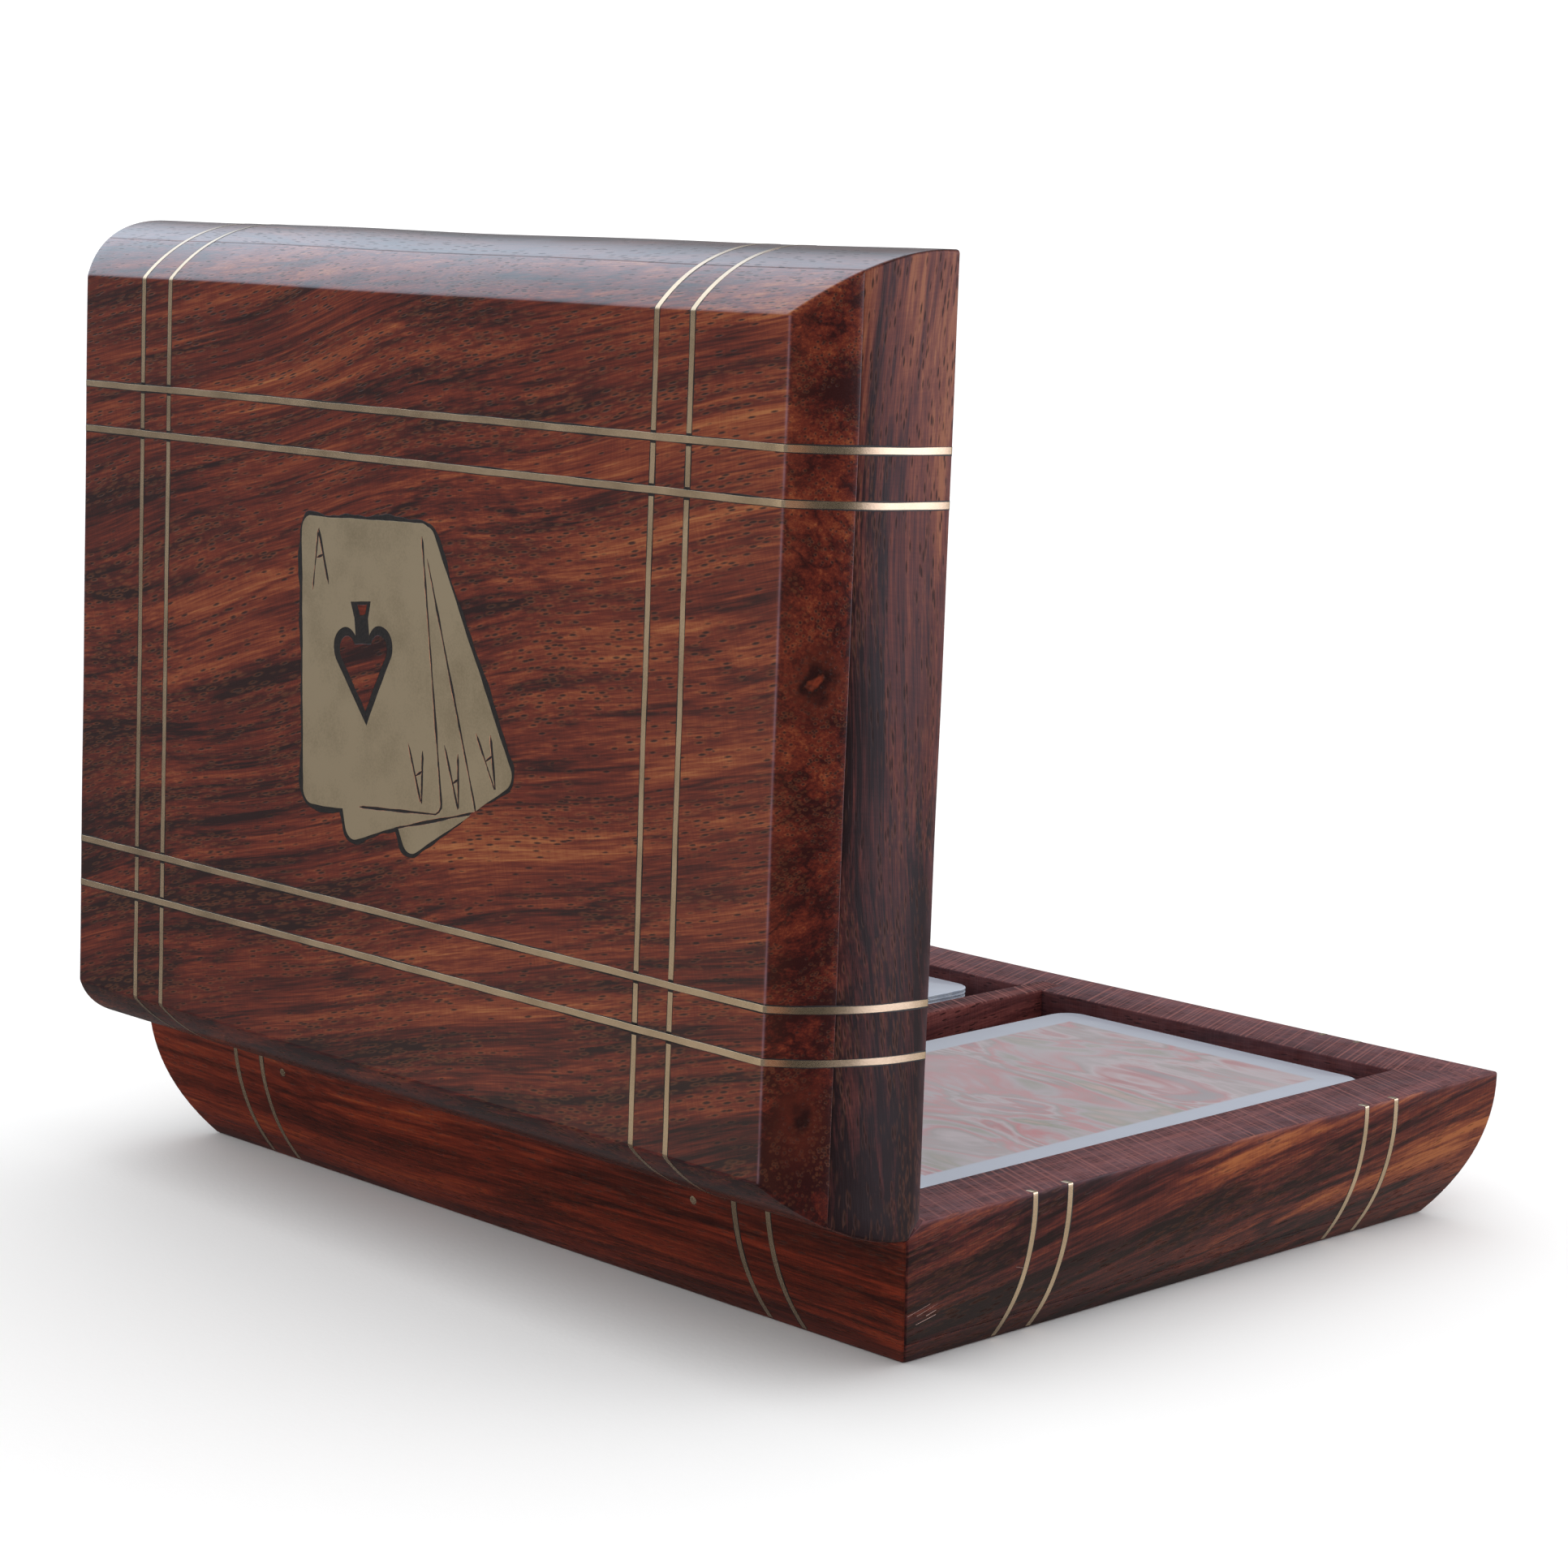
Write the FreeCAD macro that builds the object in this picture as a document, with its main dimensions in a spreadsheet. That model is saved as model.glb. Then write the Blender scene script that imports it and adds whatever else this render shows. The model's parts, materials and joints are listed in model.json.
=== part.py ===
"""Hinged rosewood box for two decks of playing cards, with brass inlay.

The box stands in its own frame: X to the right as its user faces the front, Y to the
back, Z up, origin in the middle of the underside. The lid is drawn closed, with its
rim at z = 0 of its own frame, and is then hung on the hinge axis, laid open.
"""
import FreeCAD, Part
import os
import re
from collections import namedtuple

import Sketcher
from FreeCAD import Placement, Rotation, Vector

doc = FreeCAD.newDocument("card_box")

# --------------------------------------------------------------------------
# Driving dimensions, millimetres and degrees
# --------------------------------------------------------------------------
DIMENSIONS = [
    # Decks of cards, which set the size of the box
    ("card_width", 57.2, "bridge size"),
    ("card_length", 88.5, ""),
    ("card_corner", 3.5, ""),
    ("card_sheet", 0.3, "one card"),
    ("deck_height", 16.2, "54 cards"),
    ("left_outer_gap", 1.4, "left wall to left deck"),
    ("left_finger_gap", 8.8, "left deck to divider"),
    ("right_finger_gap", 7.0, "divider to right deck"),
    ("right_outer_gap", 4.2, "right deck to right wall"),
    ("front_gap", 3.9, "front wall to left deck"),
    ("rear_gap", 4.7, "left deck to rear wall"),
    ("right_deck_forward", 1.1, "right deck lies nearer the front by this"),
    # The case
    ("wall", 10.7, "thickness of the four sides at the rim"),
    ("base_height", 20.6, "underside to rim"),
    ("lid_height", 19.5, "rim to flat top"),
    ("base_inset", 7.2, "how far the moulded side draws in at the underside"),
    ("lid_inset", 8.0, "how far the moulded side draws in at the flat top"),
    ("base_land", 0.6, "upright part of the side below the rim"),
    ("lid_land", 1.5, "upright part of the side above the rim"),
    ("base_board", 3.3, "thickness of the bottom board"),
    ("lid_board", 6.8, "thickness of the top board"),
    # How the two halves meet
    ("rim_gap", 0.2, "hairline between the closed rims"),
    ("open_angle", 88.0, "lid swing from shut to its stop"),
    ("back_bevel", 2.3, "flat planed off each back rim edge, which stops the lid"),
    # The divider
    ("divider", 4.8, "thickness"),
    ("divider_housing", 5.0, "how far its ends are let into the front and back"),
    ("joint_gap", 0.05, "glue line round a piece let into the wood"),
    # Brass strips
    ("strip_width", 0.85, "seen width"),
    ("strip_depth", 1.6, "how far it goes into the wood"),
    ("strip_break", 0.35, "gap each side where a cross strip is cut at a long one"),
    ("strip_in_left", 24.6, "left side to the middle of the outer strip"),
    ("strip_in_right", 22.5, ""),
    ("strip_in_front", 23.4, ""),
    ("strip_in_rear", 22.8, ""),
    ("strip_pair", 6.4, "middle to middle of a pair"),
    # Hinges
    ("hinge_in_left", 38.8, "left side to the middle of the left hinge"),
    ("hinge_in_right", 34.0, ""),
    ("leaf_width", 8.0, "along the back edge"),
    ("leaf_depth", 9.0, "hinge axis to the buried end of a leaf"),
    ("leaf_sheet", 0.7, "sheet brass"),
    ("knuckle_radius", 1.25, ""),
    ("knuckle_gap", 0.15, "end play between knuckles"),
    ("mortise_gap", 0.25, "room round the knuckles in the wood"),
    ("pin_radius", 0.5, ""),
    ("pin_gap", 0.03, "running clearance of the pin"),
    ("nail_radius", 0.85, "brass nail driven through wall and leaf"),
    ("nail_drop", 5.2, "rim to nail"),
    ("nail_beyond", 3.0, "nail point past the leaf"),
    ("nail_gap", 0.03, ""),
    # Inlaid fan of cards, seen from above with the lid shut
    ("inlay_sheet", 0.8, "sheet brass"),
    ("lac_border", 1.1, "dark lac run in round the brass"),
    ("lac_gap", 0.03, ""),
    ("first_card_x", 18.9, "lower corner of the front card"),
    ("first_card_y", 17.7, ""),
    ("first_card_turn", 2.2, ""),
    ("first_card_width", 28.0, ""),
    ("first_card_height", 38.6, ""),
    ("second_card_x", 8.6, ""),
    ("second_card_y", 21.7, ""),
    ("second_card_turn", 18.5, ""),
    ("second_card_width", 27.5, ""),
    ("second_card_height", 36.0, ""),
    ("third_card_x", -4.3, ""),
    ("third_card_y", 22.0, ""),
    ("third_card_turn", 30.5, ""),
    ("third_card_width", 25.0, ""),
    ("third_card_height", 36.7, ""),
    ("inlay_corner", 2.0, "corner radius of the brass cards"),
    ("spade_x", 6.4, "middle of the lobes"),
    ("spade_y", -4.6, ""),
    ("spade_turn", 6.5, ""),
    ("lobe_offset", 3.7, "lobe centre from the spade's axis"),
    ("lobe_radius", 2.7, ""),
    ("spade_tip", 10.3, "lobe centres to tip"),
    ("neck_half", 1.5, "half width of the stem at its neck"),
    ("neck_drop", 3.8, "lobe centres to neck"),
    ("stem_half", 2.2, "half width of the stem's foot"),
    ("stem_drop", 6.0, "lobe centres to foot"),
    ("spade_lac", 0.8, "lac between the brass and the wood left standing"),
]

sizes = doc.addObject("Spreadsheet::Sheet", "Sizes")
for row, (alias, number, meaning) in enumerate(DIMENSIONS, start=1):
    sizes.set("A%d" % row, alias)
    sizes.set("B%d" % row, str(number))
    sizes.set("C%d" % row, meaning)
    sizes.setAlias("B%d" % row, alias)
doc.recompute()
ALIASES = {alias for alias, number, meaning in DIMENSIONS}

OVERCUT = 1.0  # cutters stand this far out of the wood they cut


def refer(formula):
    """The formula with each alias pointing at its cell."""
    def cell(word):
        name = word.group()
        return "Sizes." + name if name in ALIASES else name
    return re.sub(r"[A-Za-z_]\w*", cell, str(formula))


def value(formula):
    """What the formula comes to with the present sizes."""
    return float(sizes.evalExpression(refer(formula)))


def bind(item, name, formula):
    item.setExpression(name, refer(formula))


# --------------------------------------------------------------------------
# Bodies, outlines and the two kinds of feature used throughout
# --------------------------------------------------------------------------
Round = namedtuple("Round", "x y radius")
sub_parts = []


def new_body(label):
    body = doc.addObject("PartDesign::Body", label)
    body.Label = label
    body.AllowCompound = True
    sub_parts.append(body)
    return body


def outline(body, role, loops, at="0", place=None):
    """A sketch of closed loops on an origin plane, `at` millimetres along its normal.

    A loop is a Round, or a list of corners (x, y). A corner (x, y, radius, turn) is reached by an
    arc of that radius, anticlockwise if turn is 1 and clockwise if it is -1. Every
    corner and radius is held by its formula. `place` is (x, y, angle) on the plane.
    """
    sketch = body.newObject("Sketcher::SketchObject", body.Label + "_outline")
    plane = next(item for item in body.Origin.OriginFeatures if item.Role == role)
    sketch.AttachmentSupport = [(plane, "")]
    sketch.MapMode = "FlatFace"
    if place:
        sketch.AttachmentOffset = Placement(Vector(), Rotation(Vector(0, 0, 1), value(place[2])))
        bind(sketch, "AttachmentOffset.Base.x", place[0])
        bind(sketch, "AttachmentOffset.Base.y", place[1])
        bind(sketch, "AttachmentOffset.Rotation.Angle", place[2])
    bind(sketch, "AttachmentOffset.Base.z", at)
    for loop in loops:
        if isinstance(loop, Round):
            draw_circle(sketch, loop)
        else:
            draw_loop(sketch, loop)
    return sketch


def hold(sketch, kind, formula, *where):
    """Add a dimension to the sketch and bind it to its formula."""
    number = sketch.addConstraint(Sketcher.Constraint(kind, *where, value(formula)))
    bind(sketch, "Constraints[%d]" % number, formula)


def draw_circle(sketch, circle):
    centre = Vector(value(circle.x), value(circle.y), 0)
    edge = sketch.addGeometry(Part.Circle(centre, Vector(0, 0, 1), value(circle.radius)), False)
    hold(sketch, "DistanceX", circle.x, -1, 1, edge, 3)
    hold(sketch, "DistanceY", circle.y, -1, 1, edge, 3)
    hold(sketch, "Radius", circle.radius, edge)


def draw_loop(sketch, loop):
    spots = [Vector(value(corner[0]), value(corner[1]), 0) for corner in loop]
    joins = []
    first = sketch.GeometryCount
    for index, corner in enumerate(loop):
        start, end = spots[index - 1], spots[index]
        if len(corner) == 2:
            sketch.addGeometry(Part.LineSegment(start, end), False)
            joins.append((1, 2))
        else:
            sketch.addGeometry(arc_between(start, end, value(corner[2]), corner[3]), False)
            joins.append((1, 2) if corner[3] > 0 else (2, 1))
    for index, corner in enumerate(loop):
        this, following = first + index, first + (index + 1) % len(loop)
        end = joins[index][1]
        next_start = joins[(index + 1) % len(loop)][0]
        sketch.addConstraint(Sketcher.Constraint("Coincident", this, end, following, next_start))
        hold(sketch, "DistanceX", corner[0], -1, 1, this, end)
        hold(sketch, "DistanceY", corner[1], -1, 1, this, end)
        if len(corner) > 2:
            hold(sketch, "Radius", corner[2], this)


def arc_between(start, end, radius, turn):
    """The shorter arc from start to end, turning left (1) or right (-1)."""
    chord = end - start
    rise = max(radius ** 2 - (chord.Length / 2) ** 2, 0.0) ** 0.5
    left = Vector(-chord.y, chord.x, 0).normalize()
    centre = (start + end) * 0.5 + left * rise * turn
    middle = centre - left * radius * turn
    return Part.Arc(start, middle, end) if turn > 0 else Part.Arc(end, middle, start)


def extrude(body, kind, sketch, length, symmetric=True, reverse=False):
    """Pad or pocket a sketch, equally to both sides or to one."""
    feature = body.newObject("PartDesign::" + kind, body.Label + "_" + kind.lower())
    feature.Profile = sketch
    feature.SideType = "Symmetric" if symmetric else "One side"
    feature.Reversed = reverse
    bind(feature, "Length", length)
    body.Tip = feature
    return feature


def turned(loop):
    """The loop mirrored left to right, for the opposite side of the box."""
    mirror = []
    for corner in loop:
        flipped = ("-(%s)" % corner[0],) + tuple(corner[1:])
        if len(corner) > 2:
            flipped = flipped[:3] + (-corner[3],)
        mirror.append(flipped)
    return mirror


# --------------------------------------------------------------------------
# The moulded side. Distances run from the rim towards the flat face.
# --------------------------------------------------------------------------
class Half:
    """One half of the case: the base stands on its flat face, the lid on its rim."""

    def __init__(self, name, up):
        self.name = name
        self.up = up
        self.height = name + "_height"
        self.land = name + "_land"
        self.board = name + "_board"
        self.seam = "(%s - %s)" % (self.height, self.board)
        self.radius = "(((%s - %s)^2 + %s_inset^2) / (2 * %s_inset))" % (
            self.height, self.land, name, name)

    def level(self, drop):
        """Height of a point `drop` from the rim, in the half's own frame."""
        return "(%s)" % drop if self.up else "(%s - (%s))" % (self.height, drop)

    def reach(self, half_size, drop, depth="0"):
        """Distance from the middle to the moulded side, or `depth` inside it."""
        return "(%s - %s + sqrt((%s - (%s))^2 - (%s - %s)^2))" % (
            half_size, self.radius, self.radius, depth, drop, self.land)

    def moulding(self, half_size, drop, depth="0"):
        """The corner that ends the moulded arc, coming from the rim."""
        return (self.reach(half_size, drop, depth), self.level(drop),
                "%s - (%s)" % (self.radius, depth), 1 if self.up else -1)


BASE = Half("base", up=False)
LID = Half("lid", up=True)
COMPARTMENTS = ("(2 * card_width + left_outer_gap + left_finger_gap"
                " + right_finger_gap + right_outer_gap)")
HALF_WIDTH = "(wall + (%s + divider) / 2)" % COMPARTMENTS
HALF_DEPTH = "(wall + (front_gap + card_length + rear_gap) / 2)"
LEFT_DECK = "(-%s + wall + left_outer_gap)" % HALF_WIDTH
DIVIDER_LEFT = "(%s + card_width + left_finger_gap)" % LEFT_DECK
RIGHT_DECK = "(%s + divider + right_finger_gap)" % DIVIDER_LEFT
DECK_FRONT = "(-%s + wall + front_gap)" % HALF_DEPTH
CROSS_STRIPS = ["(-%s + strip_in_left)" % HALF_WIDTH, "(-%s + strip_in_left + strip_pair)" % HALF_WIDTH,
                "(%s - strip_in_right - strip_pair)" % HALF_WIDTH, "(%s - strip_in_right)" % HALF_WIDTH]
LONG_STRIPS = ["(-%s + strip_in_front)" % HALF_DEPTH, "(-%s + strip_in_front + strip_pair)" % HALF_DEPTH,
               "(%s - strip_in_rear - strip_pair)" % HALF_DEPTH, "(%s - strip_in_rear)" % HALF_DEPTH]
HINGES = {"left": "(-%s + hinge_in_left)" % HALF_WIDTH, "right": "(%s - hinge_in_right)" % HALF_WIDTH}
GROOVE_DEPTH = "strip_depth + joint_gap"
GROOVE_WIDTH = "strip_width + 2 * joint_gap"
HINGE_Y = "(%s - back_bevel)" % HALF_DEPTH


def wall_section(half, half_size):
    """Cross-section of a side: upright inside, moulded outside, flat at rim and seam."""
    inner = "%s - wall" % half_size
    return [(inner, half.level("0")), (half_size, half.level("0")),
            (half_size, half.level(half.land)), half.moulding(half_size, half.seam),
            (inner, half.level(half.seam))]


def plane_back_bevel(body, half):
    """Take the flat off the back rim edge on which the open lid rests."""
    slope = "tan(open_angle / 2)"
    above = half.level("-%s * %s" % (OVERCUT, slope))
    outside = "%s + %s" % (HALF_DEPTH, OVERCUT)
    waste = [("%s - %s" % (HINGE_Y, OVERCUT), above),
             (outside, half.level("(back_bevel + %s) * %s" % (OVERCUT, slope))), (outside, above)]
    extrude(body, "Pocket", outline(body, "YZ_Plane", [waste]), "2 * (%s + %s)" % (HALF_WIDTH, OVERCUT))


def groove_section(half, half_size):
    """Everything outside the straight groove floor, from past the rim to past the flat face."""
    floor = "%s - (%s)" % (half_size, GROOVE_DEPTH)
    lean = "(%s_inset / %s)" % (half.name, half.height)
    outside = "%s + %s" % (half_size, OVERCUT)
    above, below = "%s + %s" % (half.height, OVERCUT), "-%s" % OVERCUT
    return [("%s - %s * (%s)" % (floor, lean, below), half.level(below)),
            ("%s - %s * (%s)" % (floor, lean, above), half.level(above)),
            (outside, half.level(above)), (outside, half.level(below))]


def strip_section(half, half_size):
    """A strip with its face on the moulded side, from rim to flat face, and a straight back."""
    floor = "%s - strip_depth" % half_size
    return [(half_size, half.level("0")), (half_size, half.level(half.land)),
            half.moulding(half_size, half.height),
            ("%s - %s_inset" % (floor, half.name), half.level(half.height)), (floor, half.level("0"))]


def over_the_top(half_size, depth, cutter):
    """Loop between the lid's surface, or a cutter's outside, and the floor of a groove."""
    crest = "lid_height - (%s)" % depth
    inner = "%s - (%s) - lid_inset * (%s) / lid_height" % (half_size, depth, crest)
    floor = "%s - (%s)" % (half_size, depth)
    edge = LID.reach(half_size, "lid_height")
    outside, top = "%s + %s" % (half_size, OVERCUT), "lid_height + %s" % OVERCUT
    if cutter:
        foot = "-%s" % OVERCUT
        floor = "%s + lid_inset * %s / lid_height" % (floor, OVERCUT)
        outer = [(outside, foot), (outside, top), ("-(%s)" % outside, top), ("-(%s)" % outside, foot)]
    else:
        foot = "0"
        outer = [(half_size, "0"), (half_size, "lid_land"), LID.moulding(half_size, "lid_height"),
                 ("-(%s)" % edge, "lid_height"),
                 ("-(%s)" % half_size, "lid_land", LID.radius, 1), ("-(%s)" % half_size, "0")]
    return outer + [("-(%s)" % floor, foot), ("-(%s)" % inner, crest), (inner, crest), (floor, foot)]


SIDES = {
    # name: plane of its section, half size it stands at, direction, strips, length
    "front": ("YZ_Plane", HALF_DEPTH, -1, CROSS_STRIPS, "2 * " + HALF_WIDTH),
    "rear": ("YZ_Plane", HALF_DEPTH, 1, CROSS_STRIPS, "2 * " + HALF_WIDTH),
    "left": ("XZ_Plane", HALF_WIDTH, -1, LONG_STRIPS, "2 * " + HALF_DEPTH),
    "right": ("XZ_Plane", HALF_WIDTH, 1, LONG_STRIPS, "2 * " + HALF_DEPTH),
}


def facing(direction, loop):
    return loop if direction > 0 else turned(loop)


def along(role, position):
    """Distance along a plane's normal for a position on the axis it faces."""
    return "-(%s)" % position if role == "XZ_Plane" else position


def mitre_loops(side):
    """Plan of what the two 45 degree mitres take off the ends of a side."""
    far_x, far_y = HALF_WIDTH + " + %s" % OVERCUT, HALF_DEPTH + " + %s" % OVERCUT
    near_x = HALF_WIDTH + " - wall - %s" % OVERCUT
    near_y = HALF_DEPTH + " - wall - %s" % OVERCUT
    if side in ("front", "rear"):
        corner = [(far_x, far_y), (near_x, near_y), (far_x, near_y)]
    else:
        corner = [(far_x, far_y), (near_x, far_y), (near_x, near_y)]
    if side in ("front", "left"):
        corner = [("-(%s)" % x, "-(%s)" % y) for x, y in corner]
    if side in ("front", "rear"):
        other = [("-(%s)" % x, y) for x, y in corner]
    else:
        other = [(x, "-(%s)" % y) for x, y in corner]
    return [corner, other]


def cut_grooves(body, half, side):
    role, half_size, direction, strips, length = SIDES[side]
    for strip in strips:
        groove = outline(body, role, [facing(direction, groove_section(half, half_size))],
                         at=along(role, strip))
        extrude(body, "Pocket", groove, GROOVE_WIDTH)


def make_wall(half, side):
    role, half_size, direction, strips, length = SIDES[side]
    body = new_body("%s_%s_wall" % (half.name, side))
    section = wall_section(half, half_size)
    extrude(body, "Pad", outline(body, role, [facing(direction, section)]), length)
    plan = outline(body, "XY_Plane", mitre_loops(side), at=half.height + " / 2")
    extrude(body, "Pocket", plan, "2 * %s" % half.height)
    if side != "front":
        plane_back_bevel(body, half)
    if side == "rear":
        for hinge in HINGES.values():
            sink_hinge(body, half, hinge)
    if half is BASE and side in ("front", "rear"):
        house_divider(body, direction)
    cut_grooves(body, half, side)


def make_board(half, label):
    """The flat board that closes a half; its edges carry on the moulding."""
    body = new_body(label)
    right = [(half.reach(HALF_WIDTH, half.seam), half.level(half.seam)),
             half.moulding(HALF_WIDTH, half.height)]
    left = [("-(%s)" % right[1][0], right[1][1]),
            ("-(%s)" % right[0][0], right[0][1], half.radius, 1 if half.up else -1)]
    extrude(body, "Pad", outline(body, "XZ_Plane", [right + left]), "2 * " + HALF_DEPTH)
    start, stop = "%s - %s" % (half.seam, OVERCUT), "%s + %s" % (half.height, OVERCUT)
    outside = "%s + %s" % (HALF_DEPTH, OVERCUT)
    waste = [(half.reach(HALF_DEPTH, start), half.level(start)), half.moulding(HALF_DEPTH, stop),
             (outside, half.level(stop)), (outside, half.level(start))]
    extrude(body, "Pocket", outline(body, "YZ_Plane", [waste, turned(waste)]), "2 * " + HALF_WIDTH)
    return body


# --------------------------------------------------------------------------
# Base
# --------------------------------------------------------------------------
def house_divider(body, direction):
    """Housing for one end of the divider, open at the rim."""
    near, far = "%s - wall - %s" % (HALF_DEPTH, OVERCUT), "%s - wall + divider_housing" % HALF_DEPTH
    if direction < 0:
        near, far = "-(%s)" % near, "-(%s)" % far
    left, right = DIVIDER_LEFT + " - joint_gap", DIVIDER_LEFT + " + divider + joint_gap"
    loop = [(left, near), (right, near), (right, far), (left, far)]
    extrude(body, "Pocket", outline(body, "XY_Plane", [loop], at="base_height / 2"), "2 * base_height")


def make_divider():
    body = new_body("base_divider")
    end = "%s - wall + divider_housing - joint_gap" % HALF_DEPTH
    left, right = DIVIDER_LEFT, DIVIDER_LEFT + " + divider"
    loop = [(left, "-(%s)" % end), (right, "-(%s)" % end), (right, end), (left, end)]
    extrude(body, "Pad", outline(body, "XY_Plane", [loop], at="base_board"), "base_height - base_board",
            symmetric=False)


def make_base_strips(side):
    role, half_size, direction, strips, length = SIDES[side]
    for number, strip in enumerate(strips, start=1):
        body = new_body("base_%s_strip_%d" % (side, number))
        section = facing(direction, strip_section(BASE, half_size))
        extrude(body, "Pad", outline(body, role, [section], at=along(role, strip)), "strip_width")
        if side == "rear":
            plane_back_bevel(body, BASE)


# --------------------------------------------------------------------------
# Lid
# --------------------------------------------------------------------------
def make_long_strips():
    """Four strips that run from rim to rim across the lid."""
    for number, strip in enumerate(LONG_STRIPS, start=1):
        body = new_body("lid_long_strip_%d" % number)
        section = over_the_top(HALF_WIDTH, "strip_depth", cutter=False)
        extrude(body, "Pad", outline(body, "XZ_Plane", [section], at="-(%s)" % strip), "strip_width")


def make_cross_strips():
    """Four lines that run front to back, each cut into five lengths at the long strips."""
    for number, strip in enumerate(CROSS_STRIPS, start=1):
        body = new_body("lid_cross_strip_%d" % number)
        section = over_the_top(HALF_DEPTH, "strip_depth", cutter=False)
        extrude(body, "Pad", outline(body, "YZ_Plane", [section], at=strip), "strip_width")
        side = "(strip_width + 2 * %s)" % OVERCUT
        half = "(strip_width / 2 + strip_break)"
        gaps = []
        for crossing in LONG_STRIPS:
            gaps.append([("%s - %s" % (strip, side), "%s - %s" % (crossing, half)),
                         ("%s + %s" % (strip, side), "%s - %s" % (crossing, half)),
                         ("%s + %s" % (strip, side), "%s + %s" % (crossing, half)),
                         ("%s - %s" % (strip, side), "%s + %s" % (crossing, half))])
        extrude(body, "Pocket", outline(body, "XY_Plane", gaps, at="lid_height"), "lid_height",
                symmetric=False)
        plane_back_bevel(body, LID)


CARDS = ["first_card", "second_card", "third_card"]
SPADE_PLACE = ("spade_x", "spade_y", "spade_turn")
FAN_BED = "lid_height - inlay_sheet"


def rounded(low_x, low_y, wide, high, bend):
    """Rectangle with round corners, anticlockwise from its lower left."""
    left, right = "%s + %s" % (low_x, bend), "%s + %s - (%s)" % (low_x, wide, bend)
    lower, upper = "%s + %s" % (low_y, bend), "%s + %s - (%s)" % (low_y, high, bend)
    end_x, end_y = "%s + %s" % (low_x, wide), "%s + %s" % (low_y, high)
    return [(right, low_y), (end_x, lower, bend, 1), (end_x, upper), (right, end_y, bend, 1),
            (left, end_y), (low_x, upper, bend, 1), (low_x, lower), (left, low_y, bend, 1)]


def card(body, name, kind, grow, at, depth):
    """Pad or pocket one card of the fan, grown all round, away from its held corner."""
    wide, high = "(%s_width + 2 * (%s))" % (name, grow), "(%s_height + 2 * (%s))" % (name, grow)
    loop = rounded("%s - %s" % (grow, wide), "%s - %s" % (grow, high), wide, high,
                   "inlay_corner + %s" % grow)
    place = (name + "_x", name + "_y", name + "_turn")
    extrude(body, kind, outline(body, "XY_Plane", [loop], at, place), depth, symmetric=False)


SPAN = "(lobe_offset^2 + spade_tip^2)"
FLANK = "sqrt(%s - lobe_radius^2)" % SPAN
# Direction from a lobe's centre to the point where the straight flank leaves it
LEAN_X = "((%s * spade_tip - lobe_radius * lobe_offset) / %s)" % (FLANK, SPAN)
LEAN_Y = "((%s * lobe_offset + lobe_radius * spade_tip) / %s)" % (FLANK, SPAN)


def spade_loop():
    """Spade with its lobes each side of the origin and flanks tangent to them."""
    touch_x, touch_y = "lobe_offset + lobe_radius * " + LEAN_X, "lobe_radius * " + LEAN_Y
    shoulder = "-sqrt(lobe_radius^2 - (lobe_offset - neck_half)^2)"
    return [(touch_x, touch_y), ("lobe_offset", "-lobe_radius", "lobe_radius", -1),
            ("neck_half", shoulder, "lobe_radius", -1), ("neck_half", "-neck_drop"),
            ("stem_half", "-stem_drop"), ("-stem_half", "-stem_drop"), ("-neck_half", "-neck_drop"),
            ("-neck_half", shoulder), ("-lobe_offset", "-lobe_radius", "lobe_radius", -1),
            ("-(%s)" % touch_x, touch_y, "lobe_radius", -1), ("0", "spade_tip")]


def island_loop():
    """The wood left standing in the spade: its body drawn in by the lac, with no stem."""
    bend = "(lobe_radius - spade_lac)"
    touch_x, touch_y = "lobe_offset + %s * %s" % (bend, LEAN_X), "%s * %s" % (bend, LEAN_Y)
    sole = "(sqrt(lobe_radius^2 - (lobe_offset - neck_half)^2) - spade_lac)"
    crotch = "(lobe_offset - sqrt(%s^2 - %s^2))" % (bend, sole)
    return [(touch_x, touch_y), ("lobe_offset", "-" + bend, bend, -1), (crotch, "-" + sole, bend, -1),
            ("-" + crotch, "-" + sole), ("-lobe_offset", "-" + bend, bend, -1),
            ("-(%s)" % touch_x, touch_y, bend, -1), ("0", "spade_tip - spade_lac / %s" % LEAN_Y)]


def sink_fan(board):
    """Recess for brass and lac, with the wood inside the spade left standing."""
    for name in CARDS:
        card(board, name, "Pocket", "lac_border", "lid_height", "inlay_sheet")
    island = outline(board, "XY_Plane", [island_loop()], FAN_BED, SPADE_PLACE)
    extrude(board, "Pad", island, "inlay_sheet", symmetric=False)


def make_fan():
    """The brass: three overlapping cards in one sheet, with a spade cut out."""
    body = new_body("card_fan_inlay")
    for name in CARDS:
        card(body, name, "Pad", "0", FAN_BED, "inlay_sheet")
    spade = outline(body, "XY_Plane", [spade_loop()], "lid_height", SPADE_PLACE)
    extrude(body, "Pocket", spade, "inlay_sheet", symmetric=False)


def make_lac():
    """The lac: a border round the brass, and a ring and stem inside the spade."""
    body = new_body("lac_filling")
    for name in CARDS:
        card(body, name, "Pad", "lac_border", FAN_BED, "inlay_sheet")
    for name in CARDS:
        card(body, name, "Pocket", "0", "lid_height", "inlay_sheet")
    spade = outline(body, "XY_Plane", [spade_loop()], FAN_BED, SPADE_PLACE)
    extrude(body, "Pad", spade, "inlay_sheet", symmetric=False)
    island = outline(body, "XY_Plane", [island_loop()], "lid_height", SPADE_PLACE)
    extrude(body, "Pocket", island, "inlay_sheet", symmetric=False)


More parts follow.
